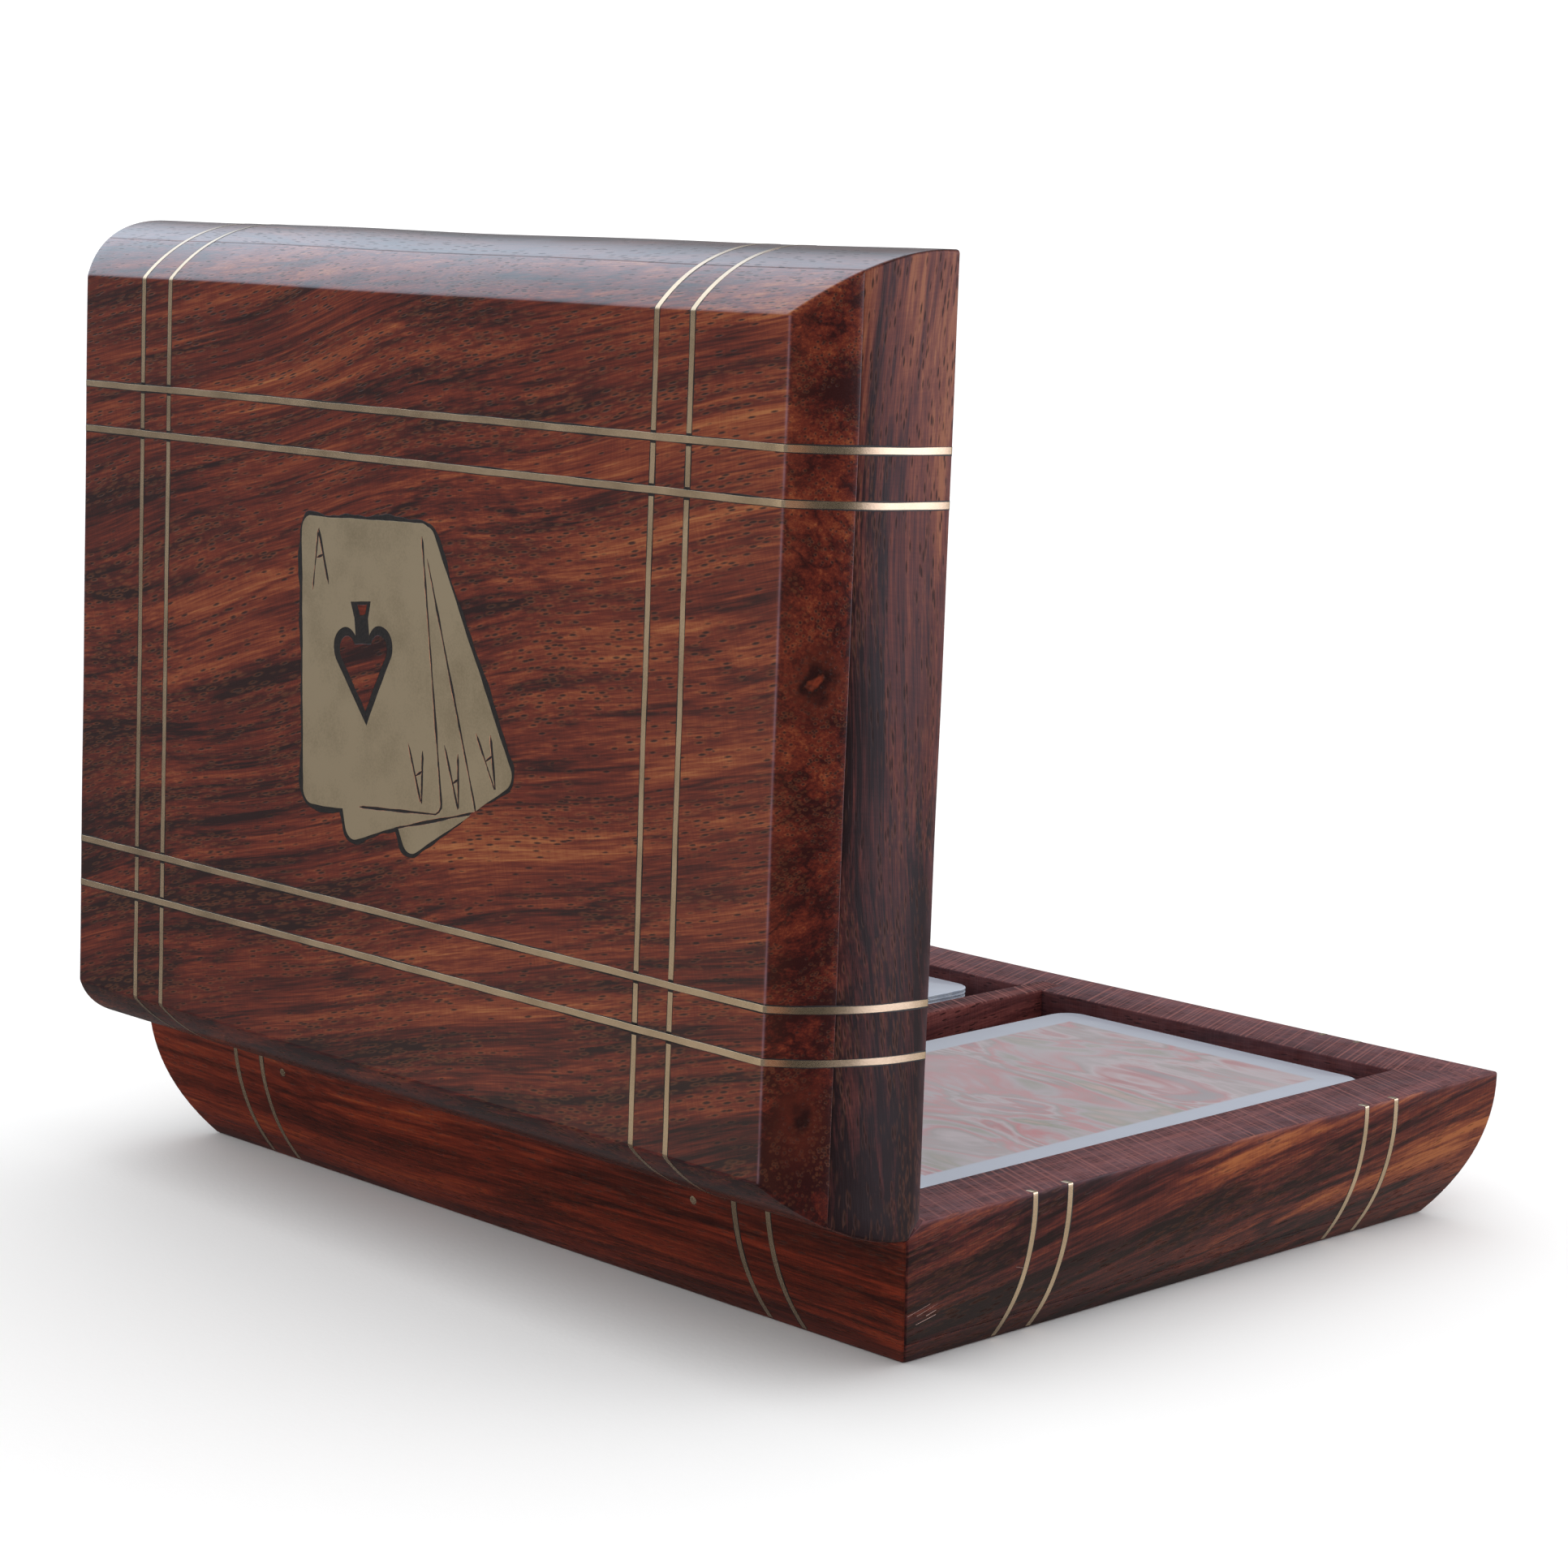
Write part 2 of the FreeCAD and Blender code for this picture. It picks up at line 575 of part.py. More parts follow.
def make_top_board():
    body = make_board(LID, "lid_top_board")
    for strips, role, half_size in ((LONG_STRIPS, "XZ_Plane", HALF_WIDTH),
                                    (CROSS_STRIPS, "YZ_Plane", HALF_DEPTH)):
        groove = over_the_top(half_size, GROOVE_DEPTH, cutter=True)
        for strip in strips:
            extrude(body, "Pocket", outline(body, role, [groove], along(role, strip)), GROOVE_WIDTH)
    sink_fan(body)


# --------------------------------------------------------------------------
# Hinges: sheet brass leaves in saw kerfs, knuckles in the V of the two bevels
# --------------------------------------------------------------------------
AXIS_DROP = "(-rim_gap / 2)"
THIRD = "(leaf_width / 3)"


def sink_hinge(body, half, hinge):
    """Square mortise for the knuckles, kerf for the leaf and hole for the nail."""
    room, side = "(knuckle_radius + mortise_gap)", "(leaf_sheet / 2 + joint_gap)"
    bed = half.level("%s + %s" % (AXIS_DROP, room))
    bottom = half.level("%s + leaf_depth + joint_gap" % AXIS_DROP)
    top = half.level("-%s" % OVERCUT)
    right = [(side, bottom), (side, bed), (room, bed), (room, top)]
    left = [("-" + y, z) for y, z in reversed(right)]
    mortise = [("%s + %s" % (HINGE_Y, y), z) for y, z in right + left]
    extrude(body, "Pocket", outline(body, "YZ_Plane", [mortise], hinge), "leaf_width + 2 * mortise_gap")
    nail = Round(hinge, half.level("nail_drop"), "nail_radius + nail_gap")
    point = along("XZ_Plane", "%s - nail_beyond - joint_gap" % HINGE_Y)
    extrude(body, "Pocket", outline(body, "XZ_Plane", [nail], point), "wall", symmetric=False)


def leaf_plate(half, hinge):
    """Plan of a leaf: the base's has a tab at each end, the lid's one in the middle."""
    end, inner = "leaf_width / 2", "%s / 2" % THIRD
    tab = half.level("%s + (knuckle_radius + pin_radius) / 2" % AXIS_DROP)
    clear = half.level("%s + knuckle_radius + mortise_gap" % AXIS_DROP)
    deep = half.level("%s + leaf_depth" % AXIS_DROP)
    if half is BASE:
        beside = inner + " + knuckle_gap"
        right = [(end, deep), (end, tab), (beside, tab), (beside, clear)]
    else:
        right = [(end, deep), (end, clear), (inner, clear), (inner, tab)]
    left = [("-(%s)" % x, z) for x, z in reversed(right)]
    return [("%s + %s" % (hinge, x), z) for x, z in right + left]


def make_leaf(half, name, hinge):
    body = new_body("%s_hinge_leaf_%s" % (half.name, name))
    plate = outline(body, "XZ_Plane", [leaf_plate(half, hinge)], along("XZ_Plane", HINGE_Y))
    extrude(body, "Pad", plate, "leaf_sheet")
    barrel = Round(HINGE_Y, half.level(AXIS_DROP), "knuckle_radius")
    if half is BASE:
        shift = "(%s + knuckle_gap / 2)" % THIRD
        for place in ("%s - %s" % (hinge, shift), "%s + %s" % (hinge, shift)):
            extrude(body, "Pad", outline(body, "YZ_Plane", [barrel], place), THIRD + " - knuckle_gap")
    else:
        extrude(body, "Pad", outline(body, "YZ_Plane", [barrel], hinge), THIRD)
    bore = Round(HINGE_Y, half.level(AXIS_DROP), "pin_radius + pin_gap")
    extrude(body, "Pocket", outline(body, "YZ_Plane", [bore], hinge), "2 * leaf_width")
    nail = Round(hinge, half.level("nail_drop"), "nail_radius + nail_gap")
    extrude(body, "Pocket", outline(body, "XZ_Plane", [nail], along("XZ_Plane", HINGE_Y)), "2 * leaf_sheet")


def make_pin(name, hinge):
    body = new_body("hinge_pin_" + name)
    pin = Round(HINGE_Y, BASE.level(AXIS_DROP), "pin_radius")
    extrude(body, "Pad", outline(body, "YZ_Plane", [pin], hinge), "leaf_width")


def make_nails(half):
    """The two nails of a half, filed flush with the back."""
    body = new_body(half.name + "_hinge_nails")
    for hinge in HINGES.values():
        nail = Round(hinge, half.level("nail_drop"), "nail_radius")
        point = along("XZ_Plane", "%s - nail_beyond" % HINGE_Y)
        length = "%s - %s + nail_beyond" % (half.reach(HALF_DEPTH, "nail_drop"), HINGE_Y)
        extrude(body, "Pad", outline(body, "XZ_Plane", [nail], point), length, False, True)


# --------------------------------------------------------------------------
# Decks
# --------------------------------------------------------------------------
def make_deck(name, left, front):
    """A deck as it lies on the bottom board, with its top card apart."""
    loop = rounded(left, front, "card_width", "card_length", "card_corner")
    for label, level, height in (("cards", "base_board", "deck_height - card_sheet"),
                                 ("top_card", "base_board + deck_height - card_sheet", "card_sheet")):
        body = new_body("%s_deck_%s" % (name, label))
        extrude(body, "Pad", outline(body, "XY_Plane", [loop], level), height, symmetric=False)


# --------------------------------------------------------------------------
# Assembly
# --------------------------------------------------------------------------
def hang_lid(body):
    """Turn a lid piece open about the hinge axis, from its own frame to the box's."""
    body.Placement = Placement(Vector(), Rotation(Vector(-1, 0, 0), value("open_angle")))
    bind(body, "Placement.Rotation.Angle", "open_angle")
    bind(body, "Placement.Base.y", "%s - %s * cos(open_angle) + rim_gap / 2 * sin(open_angle)"
         % (HINGE_Y, HINGE_Y))
    bind(body, "Placement.Base.z", "base_height + rim_gap / 2 + %s * sin(open_angle)"
         " + rim_gap / 2 * cos(open_angle)" % HINGE_Y)


for side in SIDES:
    make_wall(BASE, side)
bottom_board = make_board(BASE, "base_bottom_board")
for strips, role, half_size in ((LONG_STRIPS, "XZ_Plane", HALF_WIDTH),
                                (CROSS_STRIPS, "YZ_Plane", HALF_DEPTH)):
    edge_groove = groove_section(BASE, half_size)
    for strip in strips:
        both_edges = [edge_groove, turned(edge_groove)]
        grooves = outline(bottom_board, role, both_edges, along(role, strip))
        extrude(bottom_board, "Pocket", grooves, GROOVE_WIDTH)
make_divider()
for side in SIDES:
    make_base_strips(side)
for name, hinge in HINGES.items():
    make_leaf(BASE, name, hinge)
    make_pin(name, hinge)
make_nails(BASE)
make_deck("left", LEFT_DECK, DECK_FRONT)
make_deck("right", RIGHT_DECK, DECK_FRONT + " - right_deck_forward")

in_base = len(sub_parts)
for side in SIDES:
    make_wall(LID, side)
make_top_board()
make_long_strips()
make_cross_strips()
make_fan()
make_lac()
for name, hinge in HINGES.items():
    make_leaf(LID, name, hinge)
make_nails(LID)
for body in sub_parts[in_base:]:
    hang_lid(body)

doc.recompute()

# --------------------------------------------------------------------------
# Check and write
# --------------------------------------------------------------------------
for item in doc.Objects:
    if "Invalid" in item.State or "Error" in item.State:
        raise RuntimeError("%s did not rebuild" % item.Label)
os.makedirs("parts", exist_ok=True)
for body in sub_parts:
    shape = body.Shape
    if shape.isNull() or not shape.isValid():
        raise RuntimeError("%s has no valid shape" % body.Label)
    shape.exportStep("parts/%s.step" % body.Label)
    print("%-26s %2d solid(s) %9.1f mm3" % (body.Label, len(shape.Solids), shape.Volume))
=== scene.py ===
# %% [markdown]
# # Dressing a rosewood card box
# The box is already built as plain solids: walls, boards, brass strips, hinges and two decks of
# cards. This lesson gives those solids the surface that a workshop leaves on them. Each step first
# says what the real thing is, and then makes it. Everything is worked out in millimetres.

# %% Load the solids
import json
import math

import bmesh
import bpy
import numpy as np
from mathutils import Matrix, Vector


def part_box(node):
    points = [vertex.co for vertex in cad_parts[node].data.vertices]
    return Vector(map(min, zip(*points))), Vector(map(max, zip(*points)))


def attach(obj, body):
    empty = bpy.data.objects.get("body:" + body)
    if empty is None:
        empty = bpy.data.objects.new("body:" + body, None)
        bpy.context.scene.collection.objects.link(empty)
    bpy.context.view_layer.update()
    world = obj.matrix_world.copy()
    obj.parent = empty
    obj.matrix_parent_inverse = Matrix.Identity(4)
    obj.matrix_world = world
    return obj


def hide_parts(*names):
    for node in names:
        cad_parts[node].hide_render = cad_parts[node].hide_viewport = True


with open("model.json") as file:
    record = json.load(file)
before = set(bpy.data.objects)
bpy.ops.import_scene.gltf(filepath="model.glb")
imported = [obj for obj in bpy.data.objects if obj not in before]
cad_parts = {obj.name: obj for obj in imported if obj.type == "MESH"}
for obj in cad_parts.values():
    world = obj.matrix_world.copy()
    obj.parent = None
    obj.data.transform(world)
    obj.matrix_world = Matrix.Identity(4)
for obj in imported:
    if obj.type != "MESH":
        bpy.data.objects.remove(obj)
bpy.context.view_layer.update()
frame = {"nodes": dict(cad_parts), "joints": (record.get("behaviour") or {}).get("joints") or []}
solids = frame["nodes"]
for spare in ("Cube", "Light", "Camera"):
    if spare in bpy.data.objects:
        bpy.data.objects.remove(bpy.data.objects[spare])
MM = 0.001

# %% [markdown]
# ## Sizes
# Most sizes can be read from the solids themselves, so that the dressed pieces follow them. The
# moulded side of each half is an arc of a circle that leaves an upright land at the rim and draws
# in towards the flat face, so four numbers say where it is at any height: how high the half is, how
# thick its board, how far its arc draws in, and how high its land. All sizes are in millimetres.

# %% Describe half of the case
def corners_of(solid):
    """Lowest and highest corner of a solid in millimetres."""
    low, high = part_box(solid)
    return np.array(low) / MM, np.array(high) / MM


class Half:
    """Half of the case, measured by the drop from its rim."""

    def __init__(self, height, board, inset, land):
        self.height, self.seam, self.inset, self.land = height, height - board, inset, land
        self.radius = ((height - land) ** 2 + inset ** 2) / (2 * inset)

    def drawn_in(self, drop):
        """How far the side has drawn in: R - sqrt(R^2 - h^2) at a height h past the land."""
        past = np.maximum(np.asarray(drop, float) - self.land, 0)
        return self.radius - np.sqrt(self.radius ** 2 - past ** 2)


# %% Read the sizes
left_low, left_high = corners_of("base_left_wall")
HALF_WIDTH = -left_low[0]
HALF_DEPTH = -corners_of("base_front_wall")[0][1]
WALL = left_high[0] - left_low[0]
BASE = Half(height=left_high[2], board=corners_of("base_divider")[0][2], inset=7.2, land=0.6)
LID = Half(height=19.5, board=6.8, inset=8.0, land=1.5)
RIM_GAP = 0.2
BACK_BEVEL = 2.3
HINGE_Y = HALF_DEPTH - BACK_BEVEL
OPEN = math.radians(next(j["range_deg"][1] for j in frame["joints"] if j["name"] == "lid_hinge"))


def middle(solid, axis):
    """Halfway along a solid, in millimetres."""
    low, high = corners_of(solid)
    return (low[axis] + high[axis]) / 2


NUMBERS = range(1, 5)
ACROSS = [middle("base_front_strip_%d" % number, 0) for number in NUMBERS]
ALONG = [middle("base_left_strip_%d" % number, 1) for number in NUMBERS]
STRIP = 0.85
print("box %.1f x %.1f mm, wall %.1f mm" % (2 * HALF_WIDTH, 2 * HALF_DEPTH, WALL))
print("base %.1f mm high, lid open by %.0f degrees" % (BASE.height, math.degrees(OPEN)))

# %% [markdown]
# ## The lid's own frame
# The lid stands open, but its grain, inlay and moulding are easier to think of with the lid shut
# and its rim at height zero. One matrix turns such a point about the hinge pin to where it is.

# %% From the shut lid to the open one
SHUT_PIN = Vector((0, HINGE_Y, -RIM_GAP / 2))
OPEN_PIN = Vector((0, HINGE_Y, BASE.height + RIM_GAP / 2))
LID_FRAME = (Matrix.Translation(OPEN_PIN) @ Matrix.Rotation(-OPEN, 4, "X")
             @ Matrix.Translation(-SHUT_PIN))
BASE_FRAME = Matrix.Translation((0, 0, BASE.height)) @ Matrix.Scale(-1, 4, (0, 0, 1))
# In the base a point's height is its drop from the rim, upside down; in the lid it is right way up.


def hand_made(points):
    """Lets the front and the ends wave inwards a little, as a case sawn and sanded by hand does:
    x - (x / a) (0.07 + waves), and y + (y / b)^2 (0.15 + waves) in the front half."""
    x, y, z = points[..., 0], points[..., 1], points[..., 2]
    front = np.clip(-y / HALF_DEPTH, 0, 1) ** 2
    wave = 0.15 + 0.07 * np.sin(x / 9.5 + 0.9) + 0.07 * np.sin(x / 23 + 2.0 + z / 30)
    ends = x / HALF_WIDTH * (0.07 + 0.04 * np.sin(y / 12 + z / 9) + 0.03 * np.sin(y / 5.1))
    return np.stack((x - ends, y + front * wave, z), axis=-1)


def placed(points, where):
    """Millimetre points of a half, taken to metres in the box's frame."""
    matrix = np.array(where)
    return (points.reshape(-1, 3) @ matrix[:3, :3].T + matrix[:3, 3]) * MM


# %% [markdown]
# ## Colours and nodes
# Colours are written as they look on a screen and turned to linear light once. A material here is
# a chain of small nodes, so one helper adds a node with its settings and links, and hands back the
# output that the next node needs.

# %% Turn a colour to linear light
def linear(code):
    """An sRGB hex colour as linear red, green, blue and one for alpha."""
    shown = np.array([int(code[i:i + 2], 16) for i in (1, 3, 5)]) / 255
    light = np.where(shown <= 0.04045, shown / 12.92, ((shown + 0.055) / 1.055) ** 2.4)
    return (*light, 1.0)


# %% Add a node
def set_sockets(tree, node, sockets):
    """Fills a node's inputs, by name or by number: a link is linked, a value is set on the socket."""
    for socket, value in sockets.items():
        if isinstance(value, bpy.types.NodeSocket):
            tree.links.new(value, node.inputs[socket])
        else:
            node.inputs[socket].default_value = value


def add(tree, kind, inputs=(), output=0, stops=(), **settings):
    """Adds a node with its settings, its inputs (in their order, or by name) and a ramp's stops
    (position, colour), and returns one of its outputs."""
    made = tree.nodes.new("ShaderNode" + kind)
    for name, setting in settings.items():
        setattr(made, name, setting)
    set_sockets(tree, made, inputs if isinstance(inputs, dict) else dict(enumerate(inputs)))
    for number, (position, code) in enumerate(stops):
        ramp = made.color_ramp.elements
        stop = ramp[number] if number < 2 else ramp.new(position)
        stop.position, stop.color = position, linear(code)
    return made.outputs[output]


def new_material(name):
    """A material, its node tree and the shader that its chain of nodes ends in."""
    material = bpy.data.materials.new(name)
    material.use_nodes = True
    tree = material.node_tree
    return material, tree, tree.nodes["Principled BSDF"]


# %% [markdown]
# ## Rosewood
# Indian rosewood is a brown-red timber with darker streaks and open pores. Sawn along the log, the
# streaks run with the grain and the pores show as short dark dashes. A solid block of grain can be
# drawn in three dimensions: noise that is stretched along the grain, so each face that is cut from
# the block shows the right thing, streaks on a face and blotches on an end. An image laid on each
# face would need a join at every edge, and a block needs none.

# %% Set out a block
MILLIMETRES = (1000, 1000, 1000)
FIGURE_LONG, FIGURE_WIDE = 95, 50


def in_millimetres(tree, **moves):
    """Object coordinates in millimetres, moved or turned as the Mapping node's inputs say."""
    place = add(tree, "TexCoord", output="Object")
    return add(tree, "Mapping", {0: place, "Scale": MILLIMETRES, **moves})


def block_coordinates(tree, where, start):
    """Millimetres in the frame in which the block was sawn, counted from the place `start`."""
    moves = {}
    if where is LID_FRAME:
        moves = {"Rotation": (OPEN, 0, 0), "Location": LID_FRAME.inverted().translation}
    return add(tree, "VectorMath", (in_millimetres(tree, **moves), start), operation="ADD")


def stretched(tree, vector, grain, long, wide):
    """Scales coordinates so that a noise cell is `long` along the grain and `wide` across it."""
    sizes = [1 / wide] * 3
    sizes["XYZ".index(grain)] = 1 / long
    return add(tree, "VectorMath", (vector, sizes), operation="MULTIPLY")


def warped_block(tree, block, grain, swirl, slant, face):
    """Pushes each point aside by slow noise, p + 3 swirl (n - 1/2), which curves the figure, and
    turns the grain a little in the plane of the face."""
    cells = stretched(tree, block, grain, FIGURE_LONG, FIGURE_WIDE)
    slow = add(tree, "TexNoise", {"Vector": cells, "Scale": 1.0, "Detail": 1.0}, output="Color")
    push = add(tree, "VectorMath", (slow, (0.5, 0.5, 0.5)), operation="SUBTRACT")
    push = add(tree, "VectorMath", {0: push, "Scale": swirl * 3}, operation="SCALE")
    warped = add(tree, "VectorMath", (block, push), operation="ADD")
    return add(tree, "VectorRotate", {"Vector": warped, "Angle": slant}, rotation_type=face + "_AXIS")


# %% [markdown]
# The tone of the wood is a sum of layers. Broad bands say where the log grew light or dark, flecks
# and fibres break them up, and thin dark veins follow the lines on which one more noise is halfway.
# Real fibres are a few hundredths of a millimetre wide, too fine to show, so they are drawn 0.3 mm
# wide. The sum then picks a colour from five, from nearly black heartwood to the palest streak.

# %% Sum up the tone
def grain_layers(tree, warped, grain, streak):
    """One noise for each kind of mark, by its length and width in millimetres, its detail and its
    roughness. `streak` is the width of a band."""
    marks = {"bands": (streak * 32, streak, 5.0, 0.62), "broad": (80, 19, 1.0, 0.5),
             "flecks": (streak * 5, streak / 3.6, 3.0, 0.6), "fibres": (9, 0.30, 2.0, 0.7),
             "lines": (streak * 26, streak * 1.3, 3.0, 0.6), "sanding": (0.30, 3.5, 1.0, 0.5),
             "crowding": (36, 5.5, 2.0, 0.5)}
    return {mark: add(tree, "TexNoise", {"Vector": stretched(tree, warped, grain, long, wide), "Scale": 1.0,
                                         "Detail": detail, "Roughness": rough})
            for mark, (long, wide, detail, rough) in marks.items()}


def summed_tone(tree, layers, vein):
    """1.05 bands - 0.53 + the sum of share (layer - 1/2) - depth max(0, 1 - |lines - 1/2| / width)
    for a vein of that width and depth."""
    tone = add(tree, "Math", (layers["bands"], 1.05, -0.53), operation="MULTIPLY_ADD")
    for layer, share in (("broad", 0.42), ("flecks", 0.42), ("fibres", 0.56), ("sanding", 0.10)):
        centred = add(tree, "Math", (layers[layer], 0.5), operation="SUBTRACT")
        tone = add(tree, "Math", (centred, share, tone), operation="MULTIPLY_ADD")
    ridge = add(tree, "Math", (layers["lines"], 0.5), operation="SUBTRACT")
    ridge = add(tree, "Math", (ridge,), operation="ABSOLUTE")
    ridge = add(tree, "MapRange", (ridge, 0.0, vein[0], -vein[1], 0.0))
    return add(tree, "Math", (tone, ridge), operation="ADD")


def end_grain(tree, where, grain, share):
    """How much a face is cut across the grain, 0 to `share`: the normal's part along the grain."""
    along = where.to_3x3() @ Vector([axis == grain for axis in "XYZ"])
    normal = add(tree, "TexCoord", output="Normal")
    end = add(tree, "VectorMath", (normal, along), output="Value", operation="DOT_PRODUCT")
    end = add(tree, "Math", (end,), operation="ABSOLUTE")
    return add(tree, "MapRange", (end, 0.25, 0.75, 0.0, share))


# %% [markdown]
# The pores are vessels cut open lengthwise, short dashes that crowd in some years and thin out in
# others, with paler tissue round each one. A Voronoi noise splits the block into cells of 2.6 by
# 0.52 mm, and each may hold one dash, about half as long and half as wide. That is a little wider
# than a real vessel, which would not show.

# %% Open the pores
PORE_LONG, PORE_WIDE = 2.6, 0.52
PORE_DARK = "#1c0b0b"


def open_pores(tree, warped, grain, crowding, colour, pale_tone, strength):
    """A cell is kept where its random number is below the crowding. Returns the colour, and 1 in
    the middle of a pore."""
    cells = stretched(tree, warped, grain, PORE_LONG, PORE_WIDE)
    distance = add(tree, "TexVoronoi", {"Vector": cells, "Scale": 1.0}, feature="F1")
    dash = add(tree, "MapRange", (distance, 0.18, 0.36, 1.0, 0.0))
    rim = add(tree, "MapRange", (distance, 0.34, 0.56, 1.0, 0.0))
    number = add(tree, "SeparateColor", (distance.node.outputs["Color"],))
    crowd = add(tree, "MapRange", (crowding, 0.33, 0.58, 0.12, 1.0))
    kept = add(tree, "Math", (number, crowd), operation="LESS_THAN")
    pore = add(tree, "Math", (dash, kept), operation="MULTIPLY")
    pale = add(tree, "Math", (rim, kept), operation="MULTIPLY")
    pale = add(tree, "Math", (pale, crowd), operation="MULTIPLY")
    pale = add(tree, "Math", (pale, 0.24 * strength), operation="MULTIPLY")
    shade = add(tree, "Math", (pore, strength), operation="MULTIPLY")
    colour = add(tree, "Mix", {0: pale, 6: colour, 7: linear(pale_tone)}, output=2, data_type="RGBA")
    colour = add(tree, "Mix", {0: shade, 6: colour, 7: linear(PORE_DARK)}, output=2, data_type="RGBA")
    return colour, pore


# %% [markdown]
# A knot is the foot of a branch: dark bark round a red heart, in rings that are pulled out of round
# along the grain. It is drawn by the distance from its middle.

# %% Grow a knot
KNOT_PLACES = (0.0, 0.09, 0.16, 0.22, 0.34, 0.60)
KNOT_TONES = ("#4c170e", "#6c2a15", "#1b0b0a", "#200c0b", "#4c1c10", "#3c130e")
KNOT_REACH, KNOT_PULL = 7.5, 4.0


def grow_knot(tree, block, start, colour, middle_place, wide, long, core):
    """Rings by |(p + 4 n - c) / (wide, long, wide)| + core, with n a noise of about a half, so the
    middle c is 2 mm further on. A large core leaves out the red heart."""
    pull = add(tree, "TexNoise", {"Vector": block, "Scale": 0.40, "Detail": 3.0}, output="Color")
    pull = add(tree, "VectorMath", {0: pull, "Scale": KNOT_PULL}, operation="SCALE")
    pulled = add(tree, "VectorMath", (block, pull), operation="ADD")
    centre = [a + b + KNOT_PULL / 2 for a, b in zip(middle_place, start)]
    away = add(tree, "VectorMath", (pulled, centre), operation="SUBTRACT")
    away = add(tree, "VectorMath", (away, (1 / wide, 1 / long, 1 / wide)), operation="MULTIPLY")
    away = add(tree, "VectorMath", (away,), output="Value", operation="LENGTH")
    away = add(tree, "Math", (away, core), operation="ADD")
    ring = add(tree, "MapRange", {0: away, 2: KNOT_REACH})
    ring = add(tree, "ValToRGB", (ring,), stops=zip(KNOT_PLACES, KNOT_TONES))
    near = add(tree, "MapRange", (away, 1.7, 4.6, 0.85, 0.0))
    return add(tree, "Mix", {0: near, 6: colour, 7: ring}, output=2, data_type="RGBA")


# %% [markdown]
# Polished wood has a thin wax film over the fibres. Its edges take a pale purple-grey where a
# piece's own attribute says so: rubbing wear on the rims, and on the boards' arrises mostly a
# painted highlight, the light caught by the rounded arris. Wood that is sawn and left bare is
# paler, matt and scored across by the teeth of the saw, about every half millimetre.

# %% Rub the edges, paint the arris highlight, and saw the faces
# The first tone stands for rubbing wear and, on the arrises, for a painted highlight.
RUBBED_AND_HIGHLIGHT, SAW_DUST = "#83646c", "#97605a"


def rub_and_highlight_edges(tree, block, colour):
    """Mixes in the pale tone, rubbing wear and painted highlight, by 0.8 a n, with the piece's
    attribute a and a patchy noise n.
    """
    wear_and_highlight = add(tree, "Attribute", output="Fac", attribute_name="wear_and_highlight")
    patchy = add(tree, "TexNoise", {"Vector": block, "Scale": 0.35, "Detail": 2.0})
    rubbed = add(tree, "Math", (wear_and_highlight, patchy), operation="MULTIPLY")
    rubbed = add(tree, "Math", (rubbed, 0.8), operation="MULTIPLY")
    return add(tree, "Mix", {0: rubbed, 6: colour, 7: linear(RUBBED_AND_HIGHLIGHT)}, output=2, data_type="RGBA")


def saw_marks(tree, block, where, grain, colour, relief, sawn):
    """Scores across the grain, a little askew, from noise along one direction only. They tint the
    faces that lie flat, by the square of the normal's upright part, and roughen all of them."""
    askew = (0.9, 0.35, 0.0) if grain == "X" else (0.35, 0.9, 0.0)
    teeth = add(tree, "VectorMath", (block, askew), output="Value", operation="DOT_PRODUCT")
    teeth = add(tree, "TexNoise", {"W": teeth, "Scale": 2.1, "Detail": 3.0}, noise_dimensions="1D")
    normal = add(tree, "TexCoord", output="Normal")
    level = add(tree, "VectorMath", (normal, where.to_3x3() @ Vector((0, 0, 1))), output="Value",
                operation="DOT_PRODUCT")
    level = add(tree, "Math", (level, level), operation="MULTIPLY")
    relief = add(tree, "Math", (teeth, 2.2 * sawn, relief), operation="MULTIPLY_ADD")
    scored = add(tree, "MapRange", (teeth, 0.50, 0.66, 0.0, 0.55 * sawn))
    scored = add(tree, "Math", (scored, level), operation="MULTIPLY")
    colour = add(tree, "Mix", {0: scored, 6: colour, 7: linear(SAW_DUST)}, output=2, data_type="RGBA")
    return colour, relief


# %% [markdown]
# All of that makes one material. The relief is the fibres less the pores and plus the saw's scores,
# on top of a slow ripple that hand planing leaves. Waxed wood gets a coat, which mirrors the room
# over the wood's own dull gloss, and its IOR stays 1.5, as wood and wax are both close to that.

# %% Put the wood together
TONE_PLACES = (0.0, 0.28, 0.52, 0.76, 1.0)
TONE_REACH, END_DARKER, END_TINT = 0.30, 0.12, 0.22
WAX_ROUGHNESS, PORE_ROUGHER = 0.16, 0.25
SAWN_DEPTH, PLANED_DEPTH = 0.12 * MM, 0.06 * MM


